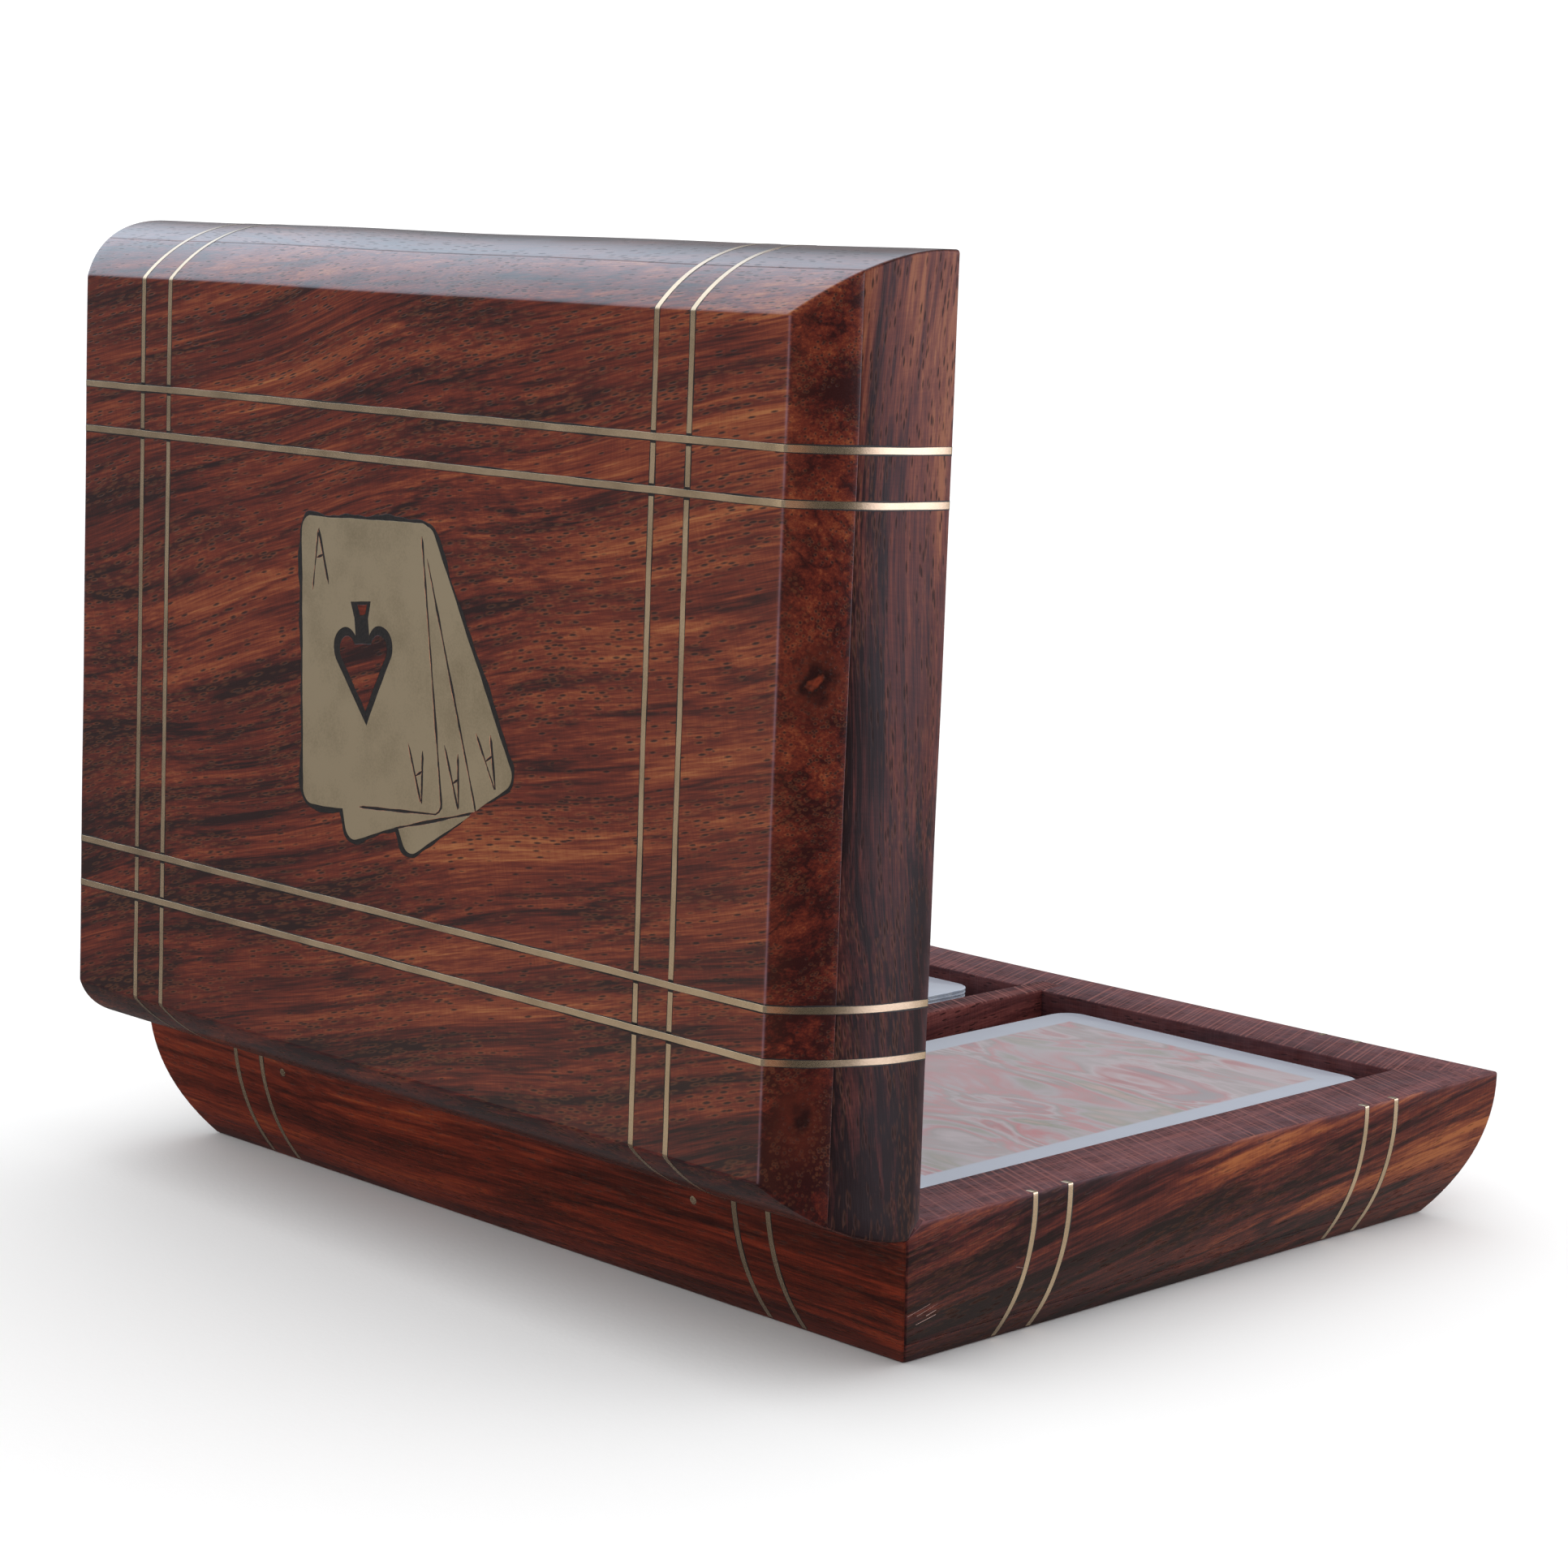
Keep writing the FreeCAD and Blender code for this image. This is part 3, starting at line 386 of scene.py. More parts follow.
def rosewood(name, where, grain, start, tones, streak=5.0, swirl=7.0, pores=0.85, gloss=0.30,
             coat=0.0, shine=0.25, sawn=0.0, slant=0.0, face="Z", knots=(),
             uneven=5.0, vein=(0.035, 0.16), drift=(0, 0, 0), level_at=(0, 0, 0)):
    """Wood in a block that starts at `start`. `streak` is the width of a band, `swirl` how far the
    figure curves, and `slant` how far the grain is turned in the plane of the `face`. `drift` is
    how much paler each millimetre gets, a painted shade that leaves the wood darker towards the
    hinge and the floor, and the place `level_at` keeps its tone. A knot is its middle, its width
    and length as shares of a plain one, and its core. `uneven` is how far the planed face
    ripples, and `sawn` how strongly it is scored."""
    material, tree, surface = new_material(name)
    block = block_coordinates(tree, where, start)
    warped = warped_block(tree, block, grain, swirl, slant, face)
    layers = grain_layers(tree, warped, grain, streak)
    # Painted shade: the tone falls by the drift per millimetre, darker towards the hinge and the floor.
    outside = add(tree, "VectorMath", (block, drift), output="Value", operation="DOT_PRODUCT")
    end = end_grain(tree, where, grain, 0.0 if sawn else 1.0)
    tone = add(tree, "Math", (summed_tone(tree, layers, vein), outside), operation="ADD")
    tone = add(tree, "Math", (end, -END_DARKER, tone), operation="MULTIPLY_ADD")
    kept_tone = sum((a + b) * c for a, b, c in zip(start, level_at, drift))
    tone = add(tree, "MapRange", (tone, kept_tone - TONE_REACH, kept_tone + TONE_REACH))
    colour = add(tree, "ValToRGB", (tone,), stops=zip(TONE_PLACES, tones))
    colour, pore = open_pores(tree, warped, grain, layers["crowding"], colour, tones[-1], pores)
    end = add(tree, "Math", (end, END_TINT), operation="MULTIPLY")
    colour = add(tree, "Mix", {0: end, 6: colour, 7: linear(tones[1])}, output=2, data_type="RGBA")
    for knot in knots:
        colour = grow_knot(tree, block, start, colour, *knot)
    # Pale edges: rubbing wear on the rims, a painted highlight on the boards' arrises.
    colour = rub_and_highlight_edges(tree, block, colour)
    relief = add(tree, "Math", (pore, -1.0, layers["fibres"]), operation="MULTIPLY_ADD")
    if sawn:
        colour, relief = saw_marks(tree, block, where, grain, colour, relief, sawn)
    ripple = add(tree, "TexNoise", {"Vector": block, "Scale": 0.12, "Detail": 1.0})
    height = add(tree, "Math", (ripple, uneven, relief), operation="MULTIPLY_ADD")
    depth = SAWN_DEPTH if sawn else PLANED_DEPTH
    bump = add(tree, "Bump", {"Height": height, "Strength": 0.5, "Distance": depth})
    rough = add(tree, "MapRange", {0: pore, 3: gloss, 4: gloss + PORE_ROUGHER})
    set_sockets(tree, surface, {"Base Color": colour, "Roughness": rough, "Normal": bump,
                                "Specular IOR Level": shine, "Coat Weight": coat,
                                "Coat Roughness": WAX_ROUGHNESS})
    return material


# %% [markdown]
# ## The boards of the box
# Each board is sawn from its own place in the log, so no two carry on each other's figure. The lid's
# top is the showy one, with two knots at its left end, and the insides are left as the saw cut them.

# %% Choose the boards
RED_TONES = ("#200a0b", "#41140e", "#5b2012", "#75371d", "#8f5630")
# The drift of the lid top, the lid ends and the base ends is painted shade, darker towards the hinge, and on
# the base ends also towards the floor.
lid_wood = rosewood("rosewood_waxed_lid_top", LID_FRAME, "X", (13, 41, 7), RED_TONES, streak=4.2, swirl=4.5,
                    slant=-0.22, coat=0.6, shine=0.12, uneven=9.0, vein=(0.04, 0.19),
                    drift=(-0.0005, -0.0014, 0), level_at=(-40, -10, 0),
                    knots=(((-76.2, -8.7, 16.2), 0.9, 1.35, 0.0), ((-76.2, 43.5, 15.9), 1.3, 2.2, 1.15)))
lid_long_wood = rosewood("rosewood_waxed_lid_front", LID_FRAME, "X", (210, 90, 33),
                         ("#22100f", "#371816", "#4b221b", "#613021", "#7c472d"), streak=7.0, coat=0.6,
                         uneven=12.0)
lid_end_wood = rosewood("rosewood_waxed_lid_ends", LID_FRAME, "Y", (50, 310, 77),
                        ("#1d1214", "#391d1d", "#512924", "#67382c", "#815039"), streak=4.5, swirl=7.0,
                        coat=0.10, shine=0.12, slant=0.07, face="X", vein=(0.05, 0.25),
                        drift=(0, -0.0043, 0), level_at=(0, -14, 0))
base_back_wood = rosewood("rosewood_waxed_base_back", BASE_FRAME, "X", (400, 20, 61),
                          ("#2c0e09", "#46160b", "#622010", "#782d14", "#90451d"), streak=6.0,
                          swirl=4.0, pores=0.35)
base_end_wood = rosewood("rosewood_waxed_base_ends", BASE_FRAME, "Y", (90, 120, 19),
                         ("#1d0d0e", "#351617", "#55241d", "#763b25", "#925430"), streak=5.0, swirl=4.5,
                         pores=0.4, shine=0.12, slant=0.16, face="X", vein=(0.05, 0.22),
                         drift=(0, -0.0018, 0.012), level_at=(0, -14, 11))
BARE_TONES = ("#291112", "#3b191a", "#4f2524", "#62312e", "#76403b")
lid_bare_wood = rosewood("rosewood_sawn_lid", LID_FRAME, "X", (33, 72, 54), BARE_TONES, gloss=0.6, shine=0.1,
                         sawn=0.4)
base_bare_wood = rosewood("rosewood_sawn_base", BASE_FRAME, "X", (61, 22, 18), BARE_TONES, gloss=0.6,
                          shine=0.1, sawn=1.0)
base_board_wood = rosewood("rosewood_planed_board", BASE_FRAME, "X", (81, 152, 18), BARE_TONES, gloss=0.6,
                           shine=0.1, sawn=0.3)
base_bare_end_wood = rosewood("rosewood_sawn_base_ends", BASE_FRAME, "Y", (161, 22, 18), BARE_TONES,
                              gloss=0.6, shine=0.1, sawn=1.0)
woods = [lid_wood, lid_long_wood, lid_end_wood, base_back_wood, base_end_wood]
bare_woods = [lid_bare_wood, base_bare_wood, base_board_wood, base_bare_end_wood]
print("woods: %d waxed and %d bare" % (len(woods), len(bare_woods)))

# %% [markdown]
# ## Brass, lac and paper
# The lines are strips of brass sheet, filed flush with the wood and dulled by handling, so they
# look khaki where they face a dim room and cream where they face a window. Lac is the black resin
# run into the gaps round the brass. The cards are coated paper. The marks that fine abrasive
# paper leaves on brass are 0.05 mm apart, too fine to show, so they are drawn 0.3 mm apart.

# %% Describe a worked metal
BRASS_STAINS = ((0.80, 0.79, 0.77, 1), (1.12, 1.12, 1.12, 1))


def brass(name, code, roughness, speck=0.35, film=0.0):
    """Metal whose roughness and tone vary by fine sanding marks and slow handling stains. `film` is
    the share of its face that wax and dirt hide."""
    material, tree, surface = new_material(name)
    place = in_millimetres(tree)
    marks = add(tree, "TexNoise", {"Vector": place, "Scale": 3.2, "Detail": 3.0, "Roughness": 0.7})
    stains = add(tree, "TexNoise", {"Vector": place, "Scale": 0.14, "Detail": 3.0})
    both = add(tree, "Math", (marks, speck, stains), operation="MULTIPLY_ADD")
    dark, pale = (np.array(linear(code)) * stain for stain in BRASS_STAINS)
    share = add(tree, "MapRange", (both, 0.45, 0.85))
    colour = add(tree, "Mix", {0: share, 6: dark, 7: pale}, output=2, data_type="RGBA")
    rough = add(tree, "MapRange", (both, 0.4, 0.9, roughness, roughness + 0.10))
    bump = add(tree, "Bump", {"Height": both, "Strength": 0.35, "Distance": 0.04 * MM})
    set_sockets(tree, surface, {"Base Color": colour, "Roughness": rough, "Normal": bump,
                                "Metallic": 1.0 - film})
    return material


# %% Describe a matt material
def matt(name, code, roughness, second_code=None, scale=1.2):
    """A dielectric whose colour drifts between two tones in patches of 1 / scale millimetres, with
    a faint grain. Its IOR stays 1.5, which suits resin, wax, paper and wood."""
    material, tree, surface = new_material(name)
    place = in_millimetres(tree)
    drift = add(tree, "TexNoise", {"Vector": place, "Scale": scale, "Detail": 4.0})
    share = add(tree, "MapRange", (drift, 0.35, 0.65))
    colour = add(tree, "Mix", {0: share, 6: linear(code), 7: linear(second_code or code)}, output=2,
                 data_type="RGBA")
    bump = add(tree, "Bump", {"Height": drift, "Strength": 0.3, "Distance": 0.08 * MM})
    set_sockets(tree, surface, {"Base Color": colour, "Roughness": roughness, "Normal": bump})
    return material


# %% Choose the metals, the lac and the paper
# Filed and handled strips mirror softly, sanded sheet is duller, and rolled hinge sheet is yellower.
strip_brass = brass("brass_strip_filed", "#c7b094", 0.16, film=0.10)
sheet_brass = brass("brass_sheet_sanded", "#c9b89c", 0.30, speck=0.6)
hinge_brass = brass("brass_hinge_rolled", "#b59a5c", 0.28)
# Sanded lac is a brownish black. The engraving is dark wax with pale copper patches, partly red wax
# and partly painted glints where the brass walls of the groove catch the light.
lac = matt("lac_sanded_flush", "#0d0a0b", 0.5, "#1f1716", scale=2.5)
engraving_wax_and_glints = matt("engraving_wax_and_painted_glints", "#241613", 0.5, "#d08a68", scale=0.8)
# A fresh scratch shows pale dry fibres, and cut paper edges are matt and a little blue.
scratched_wood = matt("rosewood_scratched", "#a3857c", 0.7)
card_edges = matt("card_edges_cut_paper", "#a9b4c6", 0.45, "#c3ccd9", scale=0.6)
small_parts = (strip_brass, sheet_brass, hinge_brass, lac, engraving_wax_and_glints, scratched_wood, card_edges)
print("for the small parts:", ", ".join(material.name for material in small_parts))

# %% [markdown]
# ## Card backs
# A coated card has a white margin and a printed field. The field here is marbled paper, an old
# bookbinder's pattern: drops of colour are drawn about on water, so bands of colour are pulled into
# curls. A distorted noise whose value picks one of eight inks gives just that. The inks are mixed
# with a pale grey in broad patches, a painted reflection of the pale room on the glossy coating,
# and a film of coating on top makes the card glossy and wavy.

# %% Make the card backs
CARD_MARGIN = 5.2
card_low, card_high = corners_of("left_deck_top_card")
CARD_WIDTH, CARD_LENGTH = (card_high - card_low)[:2]
INK_PLACES = (0.12, 0.24, 0.34, 0.44, 0.54, 0.64, 0.75, 0.88)
INKS = ("#7b7479", "#b4494c", "#c3b3b6", "#8d837e", "#c5595d", "#ada2a6", "#7f8669", "#c99d92")
# The first is the grey of a painted reflection on the glossy coating, the second the margin's white.
PAINTED_GLARE_GREY, MARGIN_WHITE = "#c0b8be", "#bcc3d2"


def card_back(name, solid):
    """Marbling where max(|x| - a, |y| - b) is below zero, for a printed field of 2a by 2b."""
    material, tree, surface = new_material(name)
    place = in_millimetres(tree, Location=[-middle(solid, 0), -middle(solid, 1), 0])
    size = add(tree, "VectorMath", (place,), operation="ABSOLUTE")
    field = (CARD_WIDTH / 2 - CARD_MARGIN, CARD_LENGTH / 2 - CARD_MARGIN, 0)
    over = add(tree, "VectorMath", (size, field), operation="SUBTRACT")
    over = add(tree, "SeparateXYZ", (over,)).node.outputs
    outside = add(tree, "Math", (over["X"], over["Y"]), operation="MAXIMUM")
    margin = add(tree, "MapRange", (outside, -0.25, 0.25))
    combed = add(tree, "VectorMath", (place, (0.035, 0.10, 0.1)), operation="MULTIPLY")
    drops = add(tree, "TexNoise", {"Vector": combed, "Scale": 1.0, "Detail": 4.0, "Distortion": 0.9})
    spread = add(tree, "MapRange", (drops, 0.25, 0.75))
    ink = add(tree, "ValToRGB", (spread,), stops=zip(INK_PLACES, INKS))
    # Painted reflection: the inks are greyed in broad patches, standing in for the pale room mirrored in the
    # coating.
    painted_glare = add(tree, "TexNoise", {"Vector": place, "Scale": 0.05, "Detail": 3.0})
    painted_glare = add(tree, "MapRange", (painted_glare, 0.3, 0.7, 0.35, 0.75))
    ink = add(tree, "Mix", {0: painted_glare, 6: ink, 7: linear(PAINTED_GLARE_GREY)}, output=2, data_type="RGBA")
    colour = add(tree, "Mix", {0: margin, 6: ink, 7: linear(MARGIN_WHITE)}, output=2, data_type="RGBA")
    film = add(tree, "TexNoise", {"Vector": place, "Scale": 0.06, "Detail": 2.0})
    bump = add(tree, "Bump", {"Height": film, "Strength": 0.5, "Distance": 0.6 * MM})
    set_sockets(tree, surface, {"Base Color": colour, "Roughness": 0.22, "Normal": bump,
                                "Coat Weight": 0.6, "Coat Roughness": 0.08})
    return material


card_backs = {side: card_back("card_back_marbled_" + side, side + "_deck_top_card")
              for side in ("left", "right")}
print("card backs:", len(card_backs), "of %.1f x %.1f mm" % (CARD_WIDTH, CARD_LENGTH))

# %% [markdown]
# ## How a surface becomes a piece
# A grid of points worked out by numpy becomes quads between neighbours. Where a direction closes on
# itself it is wrapped, and where it ends the open side gets one flat face. The sign of the volume
# says whether the faces point outwards, and they are turned if they don't.

# %% Grids and rings
def grid_faces(rows, columns, wrap_rows=False, wrap_columns=False):
    """Quads between neighbours of a rows by columns grid of points."""
    index = np.arange(rows * columns).reshape(rows, columns)
    if wrap_rows:
        index = np.vstack((index, index[:1]))
    if wrap_columns:
        index = np.hstack((index, index[:, :1]))
    quads = (index[:-1, :-1], index[1:, :-1], index[1:, 1:], index[:-1, 1:])
    return np.stack(quads, axis=-1).reshape(-1, 4)


def tube_faces(rows, around):
    """The quads of a stack of closed rings, and a face on the first ring and one on the last."""
    first, last = np.arange(around), np.arange(around)[::-1] + (rows - 1) * around
    return [*grid_faces(rows, around, wrap_columns=True), first, last]


# %% From a mesh to a piece
SMOOTH_BELOW = math.radians(35)


def in_scene(name, data):
    """A new object in the scene, at the origin."""
    made = bpy.data.objects.new(name, data)
    bpy.context.scene.collection.objects.link(made)
    return made


def make_piece(name, points, faces, body, materials, replaced=(), face_materials=None, wear_and_highlight=None):
    """Puts points (metres) and faces into a mesh, with a material and a share of wear and painted
    highlight for each, and finishes it."""
    mesh = bpy.data.meshes.new(name)
    mesh.from_pydata(points.tolist(), [], [list(face) for face in faces])
    for material in materials:
        mesh.materials.append(material)
    if face_materials is not None:
        mesh.polygons.foreach_set("material_index", np.asarray(face_materials, np.int32))
    if wear_and_highlight is not None:
        attribute = mesh.attributes.new("wear_and_highlight", "FLOAT", "POINT")
        attribute.data.foreach_set("value", wear_and_highlight.astype(np.float32).ravel())
    return finish_piece(name, mesh, body, replaced)


def finish_piece(name, mesh, body, replaced=(), smooth=True):
    """Turns a mesh outwards, shades it smooth below 35 degrees or flat, and hangs it on a body."""
    shape = bmesh.new()
    shape.from_mesh(mesh)
    if shape.calc_volume(signed=True) < 0:
        bmesh.ops.reverse_faces(shape, faces=shape.faces)
    shape.to_mesh(mesh)
    shape.free()
    if smooth:
        mesh.set_sharp_from_angle(angle=SMOOTH_BELOW)
    else:
        mesh.polygons.foreach_set("use_smooth", np.zeros(len(mesh.polygons), bool))
    piece = in_scene(name, mesh)
    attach(piece, body)
    if replaced:
        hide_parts(*replaced)
    return piece


# %% Soften an outline
def soften(corners, steps=4):
    """A closed outline of (u, v, softness): each soft corner becomes a quadratic Bezier that
    starts and ends that far from it, B(t) = (1-t)^2 A + 2t(1-t) C + t^2 D."""
    outline = np.array([corner[:2] for corner in corners], float)
    bend = np.linspace(0, 1, steps)[:, None]
    parts = []
    for number, (u, v, softness) in enumerate(corners):
        here = outline[number]
        if not softness:
            parts.append(here[None])
            continue
        before = outline[number - 1] - here
        after = outline[(number + 1) % len(corners)] - here
        start = here + before * min(softness / np.linalg.norm(before), 0.5)
        end = here + after * min(softness / np.linalg.norm(after), 0.5)
        parts.append((1 - bend) ** 2 * start + 2 * bend * (1 - bend) * here + bend ** 2 * end)
    return np.concatenate(parts)


# %% [markdown]
# ## The sides of the case
# Each half has four moulded sides, mitred at the corners and glued to a flat board. The saw left
# the rim sharp but handling has softened it, and a hairline shows where side meets board. A side is
# a section carried from the middle of one corner to the middle of the next.

# %% Carry a section along a side
SIDES = {"rear": (0, 1), "left": (-1, 0), "front": (0, -1), "right": (1, 0)}
LONG_SIDES = ("rear", "front")
CORNER_TURNS = np.radians((9, 18, 27, 36, 45))
CASE = (HALF_WIDTH, HALF_DEPTH)
COLUMNS = 56


def side_plan(side, inset, soft, columns, half=CASE):
    """Plan of points `inset` from the outside: a straight run, with each end turning an eighth of a
    circle of radius `soft`, so two neighbouring sides meet on the mitre."""
    outward = np.array(SIDES[side])
    onward = np.array((-outward[1], outward[0]))
    out = np.abs(outward) @ half - inset
    run = np.abs(onward) @ half - inset
    straight = (run - soft) * np.linspace(-1, 1, columns)
    turn_run, turn_out = run - soft + soft * np.sin(CORNER_TURNS), out - soft + soft * np.cos(CORNER_TURNS)
    runs = np.hstack((-turn_run[:, ::-1], straight, turn_run))
    outs = np.hstack((turn_out[:, ::-1], np.repeat(out, columns, axis=1), turn_out))
    return runs[..., None] * onward + outs[..., None] * outward


def outer_line(half, start, stop, count):
    """Points (inset, drop, softness) down the moulded side."""
    drops = np.linspace(start, stop, count)
    return [(inset, drop, 0) for inset, drop in zip(half.drawn_in(drops), drops)]


def planed(points):
    """Planes the bevel off the back rim edge: behind the pin, the drop is at least the distance
    past the pin times the tangent of half the opening angle."""
    bevel = (points[..., 1] - HINGE_Y) * math.tan(OPEN / 2)
    points[..., 2] = np.maximum(points[..., 2], bevel)
    return points


# %% Make a wall
RIM_SOFT, SEAM_SOFT, ARRIS_SOFT, CORNER_SOFT = 0.25, 0.18, 0.35, 0.5
INNER_SOFT, GLUED_SOFT = 0.04, 0.05
RIM_WORN, INNER_WORN, INNER_REACH, ON_FACE = 0.35, 0.5, 0.6, 0.3


def make_wall(half, where, body, side, polished, bare):
    """Carries a half's section along one side. It is polished where the section lies on the
    moulding, and worn by 0.7 exp(-d / 0.35) at a drop d outside, and by 0.5 exp(-e / 0.5) at a
    distance e from the inner edge of the rim."""
    profile = [(0, 0, RIM_SOFT)] + outer_line(half, half.land, half.seam - 1, count=12)
    profile += [(half.drawn_in(half.seam), half.seam, SEAM_SOFT), (WALL, half.seam, GLUED_SOFT),
                (WALL, 0, RIM_SOFT), (BACK_BEVEL, 0, 0)]
    section = soften(profile)
    inset, drop = section[:, :1], section[:, 1:]
    outer = inset < WALL - 1
    plan = side_plan(side, inset, np.where(outer, CORNER_SOFT, INNER_SOFT), COLUMNS)
    points = np.dstack((plan, np.repeat(drop, plan.shape[1], axis=1)))
    points = planed(hand_made(points))
    rows, columns = points.shape[:2]
    faces = [*grid_faces(rows, columns, wrap_rows=True)]
    ends = [np.arange(rows)[::-1] * columns, np.arange(rows) * columns + columns - 1]
    on_face = (np.abs(inset - half.drawn_in(drop)) < ON_FACE).ravel() & (drop.ravel() > 0.02)
    bare_row = ~(on_face & np.roll(on_face, -1))
    slots = [*np.repeat(bare_row, columns - 1), True, True]
    wear_and_highlight = 0.7 * np.exp(-drop / RIM_WORN) * outer
    wear_and_highlight += 0.5 * np.exp(-np.abs(inset - WALL) / INNER_WORN) * (drop < INNER_REACH)
    solid = "%s_%s_wall" % (body, side)
    return make_piece(solid + "_moulded", placed(points, where), faces + ends, body,
                      [polished, bare], [solid], slots, np.repeat(wear_and_highlight, columns, axis=1))


# %% Make the eight walls
for side in SIDES:
    if side in LONG_SIDES:
        make_wall(BASE, BASE_FRAME, "base", side, base_back_wood, base_bare_wood)
        make_wall(LID, LID_FRAME, "lid", side, lid_long_wood, lid_bare_wood)
    else:
        make_wall(BASE, BASE_FRAME, "base", side, base_end_wood, base_bare_end_wood)
        make_wall(LID, LID_FRAME, "lid", side, lid_end_wood, lid_bare_wood)
print("walls: 8, with softened rims and a bevelled back edge")

# %% [markdown]
# ## The two boards
# The boards carry the moulding on to the flat faces. Rings of points, each a rectangle with
# slightly round corners, are stacked from the glued face up round the arris to the flat.

# %% Stack rings into a board
def ring_stack(section, soft, half=CASE, columns=COLUMNS):
    """Rings at each (inset, drop) of a section: four sides in turn, each without its last point,
    which the next one has. The two end rings get a flat face."""
    insets, drops = section[:, :1], section[:, 1:]
    soft = np.full(insets.shape, soft)
    plan = np.concatenate([side_plan(side, insets, soft, columns, half)[:, :-1] for side in SIDES], axis=1)
    points = np.dstack((plan, np.repeat(drops, plan.shape[1], axis=1)))
    return points, tube_faces(*points.shape[:2])


# %% Make a board
MIDDLE_INSET, PAST_SEAM, UNDER_ARRIS = 30, 0.6, 0.45
# The pale band on the arris is mostly a painted highlight, with some rubbing wear.
ARRIS_WEAR_AND_HIGHLIGHT = 0.15
WEAR_AND_HIGHLIGHT_AT_ENDS, WEAR_AND_HIGHLIGHT_ALONG = 1.2, 0.2


def make_board(name, half, where, body, materials, solid):
    """The glued face is bare and the moulding polished. Its materials are those of its ends, its
    bare faces and its long sides. The arris gets the pale tone by exp(-(d / 0.15)^2) at a distance
    d, a painted highlight with some rubbing wear, six times stronger at the ends than along."""
    arris = half.drawn_in(half.height)
    profile = [(MIDDLE_INSET, half.seam, 0), (half.drawn_in(half.seam), half.seam, SEAM_SOFT)]
    profile += outer_line(half, half.seam + PAST_SEAM, half.height - UNDER_ARRIS, count=7)
    profile += [(arris, half.height, ARRIS_SOFT), (arris + 0.5, half.height, 0)]
    profile += [(MIDDLE_INSET, half.height, 0)]
    section = soften(profile, steps=6)
    points, faces = ring_stack(section, CORNER_SOFT)
    rows, around = points.shape[:2]
    bare = np.arange(rows - 1) == 0
    if body == "base":
        bare |= section[:-1, 1] > half.height - 0.01
    long_side = np.repeat([side in LONG_SIDES for side in SIDES], around // len(SIDES))
    slots = np.where(bare[:, None], 1, 2 * long_side[None]).ravel()
    from_arris = np.hypot(section[:, 0] - arris, section[:, 1] - half.height)
    # Painted highlight on the arris, with some rubbing wear.
    wear_and_highlight = np.exp(-(from_arris / ARRIS_WEAR_AND_HIGHLIGHT) ** 2)[:, None] * np.where(long_side, WEAR_AND_HIGHLIGHT_ALONG, WEAR_AND_HIGHLIGHT_AT_ENDS)
    return make_piece(name, placed(hand_made(points), where), faces, body, materials, [solid],
                      [*slots, 1, body == "base"], wear_and_highlight)


# %% Make the two boards
make_board("lid_top_board_moulded", LID, LID_FRAME, "lid",
           [lid_wood, lid_bare_wood, lid_wood], "lid_top_board")
make_board("base_bottom_board_moulded", BASE, BASE_FRAME, "base",
           [base_end_wood, base_board_wood, base_back_wood], "base_bottom_board")
print("boards: lid %.1f mm thick, base %.1f mm" % (LID.height - LID.seam, BASE.height - BASE.seam))

# %% [markdown]
# ## The divider
# A thin plain board crosses the base. Its ends are let into the front and the back and show in the
# rim as small rectangles of end grain, a hair above the wood that holds them.

# %% Make the divider
UPRIGHT = Matrix.Identity(4)
divider_low, divider_high = corners_of("base_divider")
DIVIDER_HALF = (divider_high - divider_low)[:2] / 2
DIVIDER_STANDS, DIVIDER_INNER = 0.03, 1.2
top = divider_high[2] + DIVIDER_STANDS
section = soften([(DIVIDER_INNER, divider_low[2], 0), (0, divider_low[2], 0.05), (0, top, 0.4),
                  (DIVIDER_INNER, top, 0)])
points, faces = ring_stack(section, 0.2, DIVIDER_HALF, columns=12)
points[..., 0] += middle("base_divider", 0)
make_piece("base_divider_board", placed(points, UPRIGHT), faces, "base",
           [base_bare_end_wood], ["base_divider"])
print("divider: %.1f mm thick, %.1f mm long" % (2 * DIVIDER_HALF[0], 2 * DIVIDER_HALF[1]))

# %% [markdown]
# ## The brass lines
# Strips cut from sheet are pressed into sawn grooves, so their lines waver a little and their width
# varies. Dark lac shows beside them where the groove was too wide. A strip is a flat bar carried
# along the moulding, and the lac is a lower and slightly wider one under it.

# %% Carry a bar along a path
STRIP_STANDS, LAC_STANDS, STRIP_SINKS, LAC_SINKS = 0.03, 0.015, 0.5, 0.4


def waver(steps, seed, size):
    """A slow uneven wave along a line: three sines with wavelengths of 9 to 50 mm."""
    turns = np.random.default_rng(seed).uniform(0, 2 * math.pi, 3)
    waves = [np.sin(steps / length + turn) for length, turn in zip((1.5, 3.7, 8.0), turns)]
    return size * sum(waves) / 3


def bar(path, across, width, low, high, seed, widths_vary, wander):
    """A closed bar: p + (s u + w) a + v n for a section point (u, v), with a the direction across
    the path p and n its normal, which points away from the middle of the box. The width's share
    s and the wander w waver along the path."""
    section = soften([(-width / 2, low, 0), (width / 2, low, 0), (width / 2, high, 0.015),
                      (-width / 2, high, 0.015)], steps=2)
    heading = np.gradient(path, axis=0)
    normal = np.cross(heading / np.linalg.norm(heading, axis=1, keepdims=True), across)
    normal *= np.sign(np.sum(normal * path, axis=1, keepdims=True))
    length = np.concatenate(([0], np.cumsum(np.linalg.norm(np.diff(path, axis=0), axis=1))))
    share, aside = 1 + waver(length, seed, widths_vary), waver(length, seed + 100, wander)
    offset = section[None, :, :1] * share[:, None, None] + aside[:, None, None]
    points = path[:, None] + offset * across + normal[:, None] * section[None, :, 1:]
    return planed(hand_made(points)).reshape(-1, 3), tube_faces(*points.shape[:2])


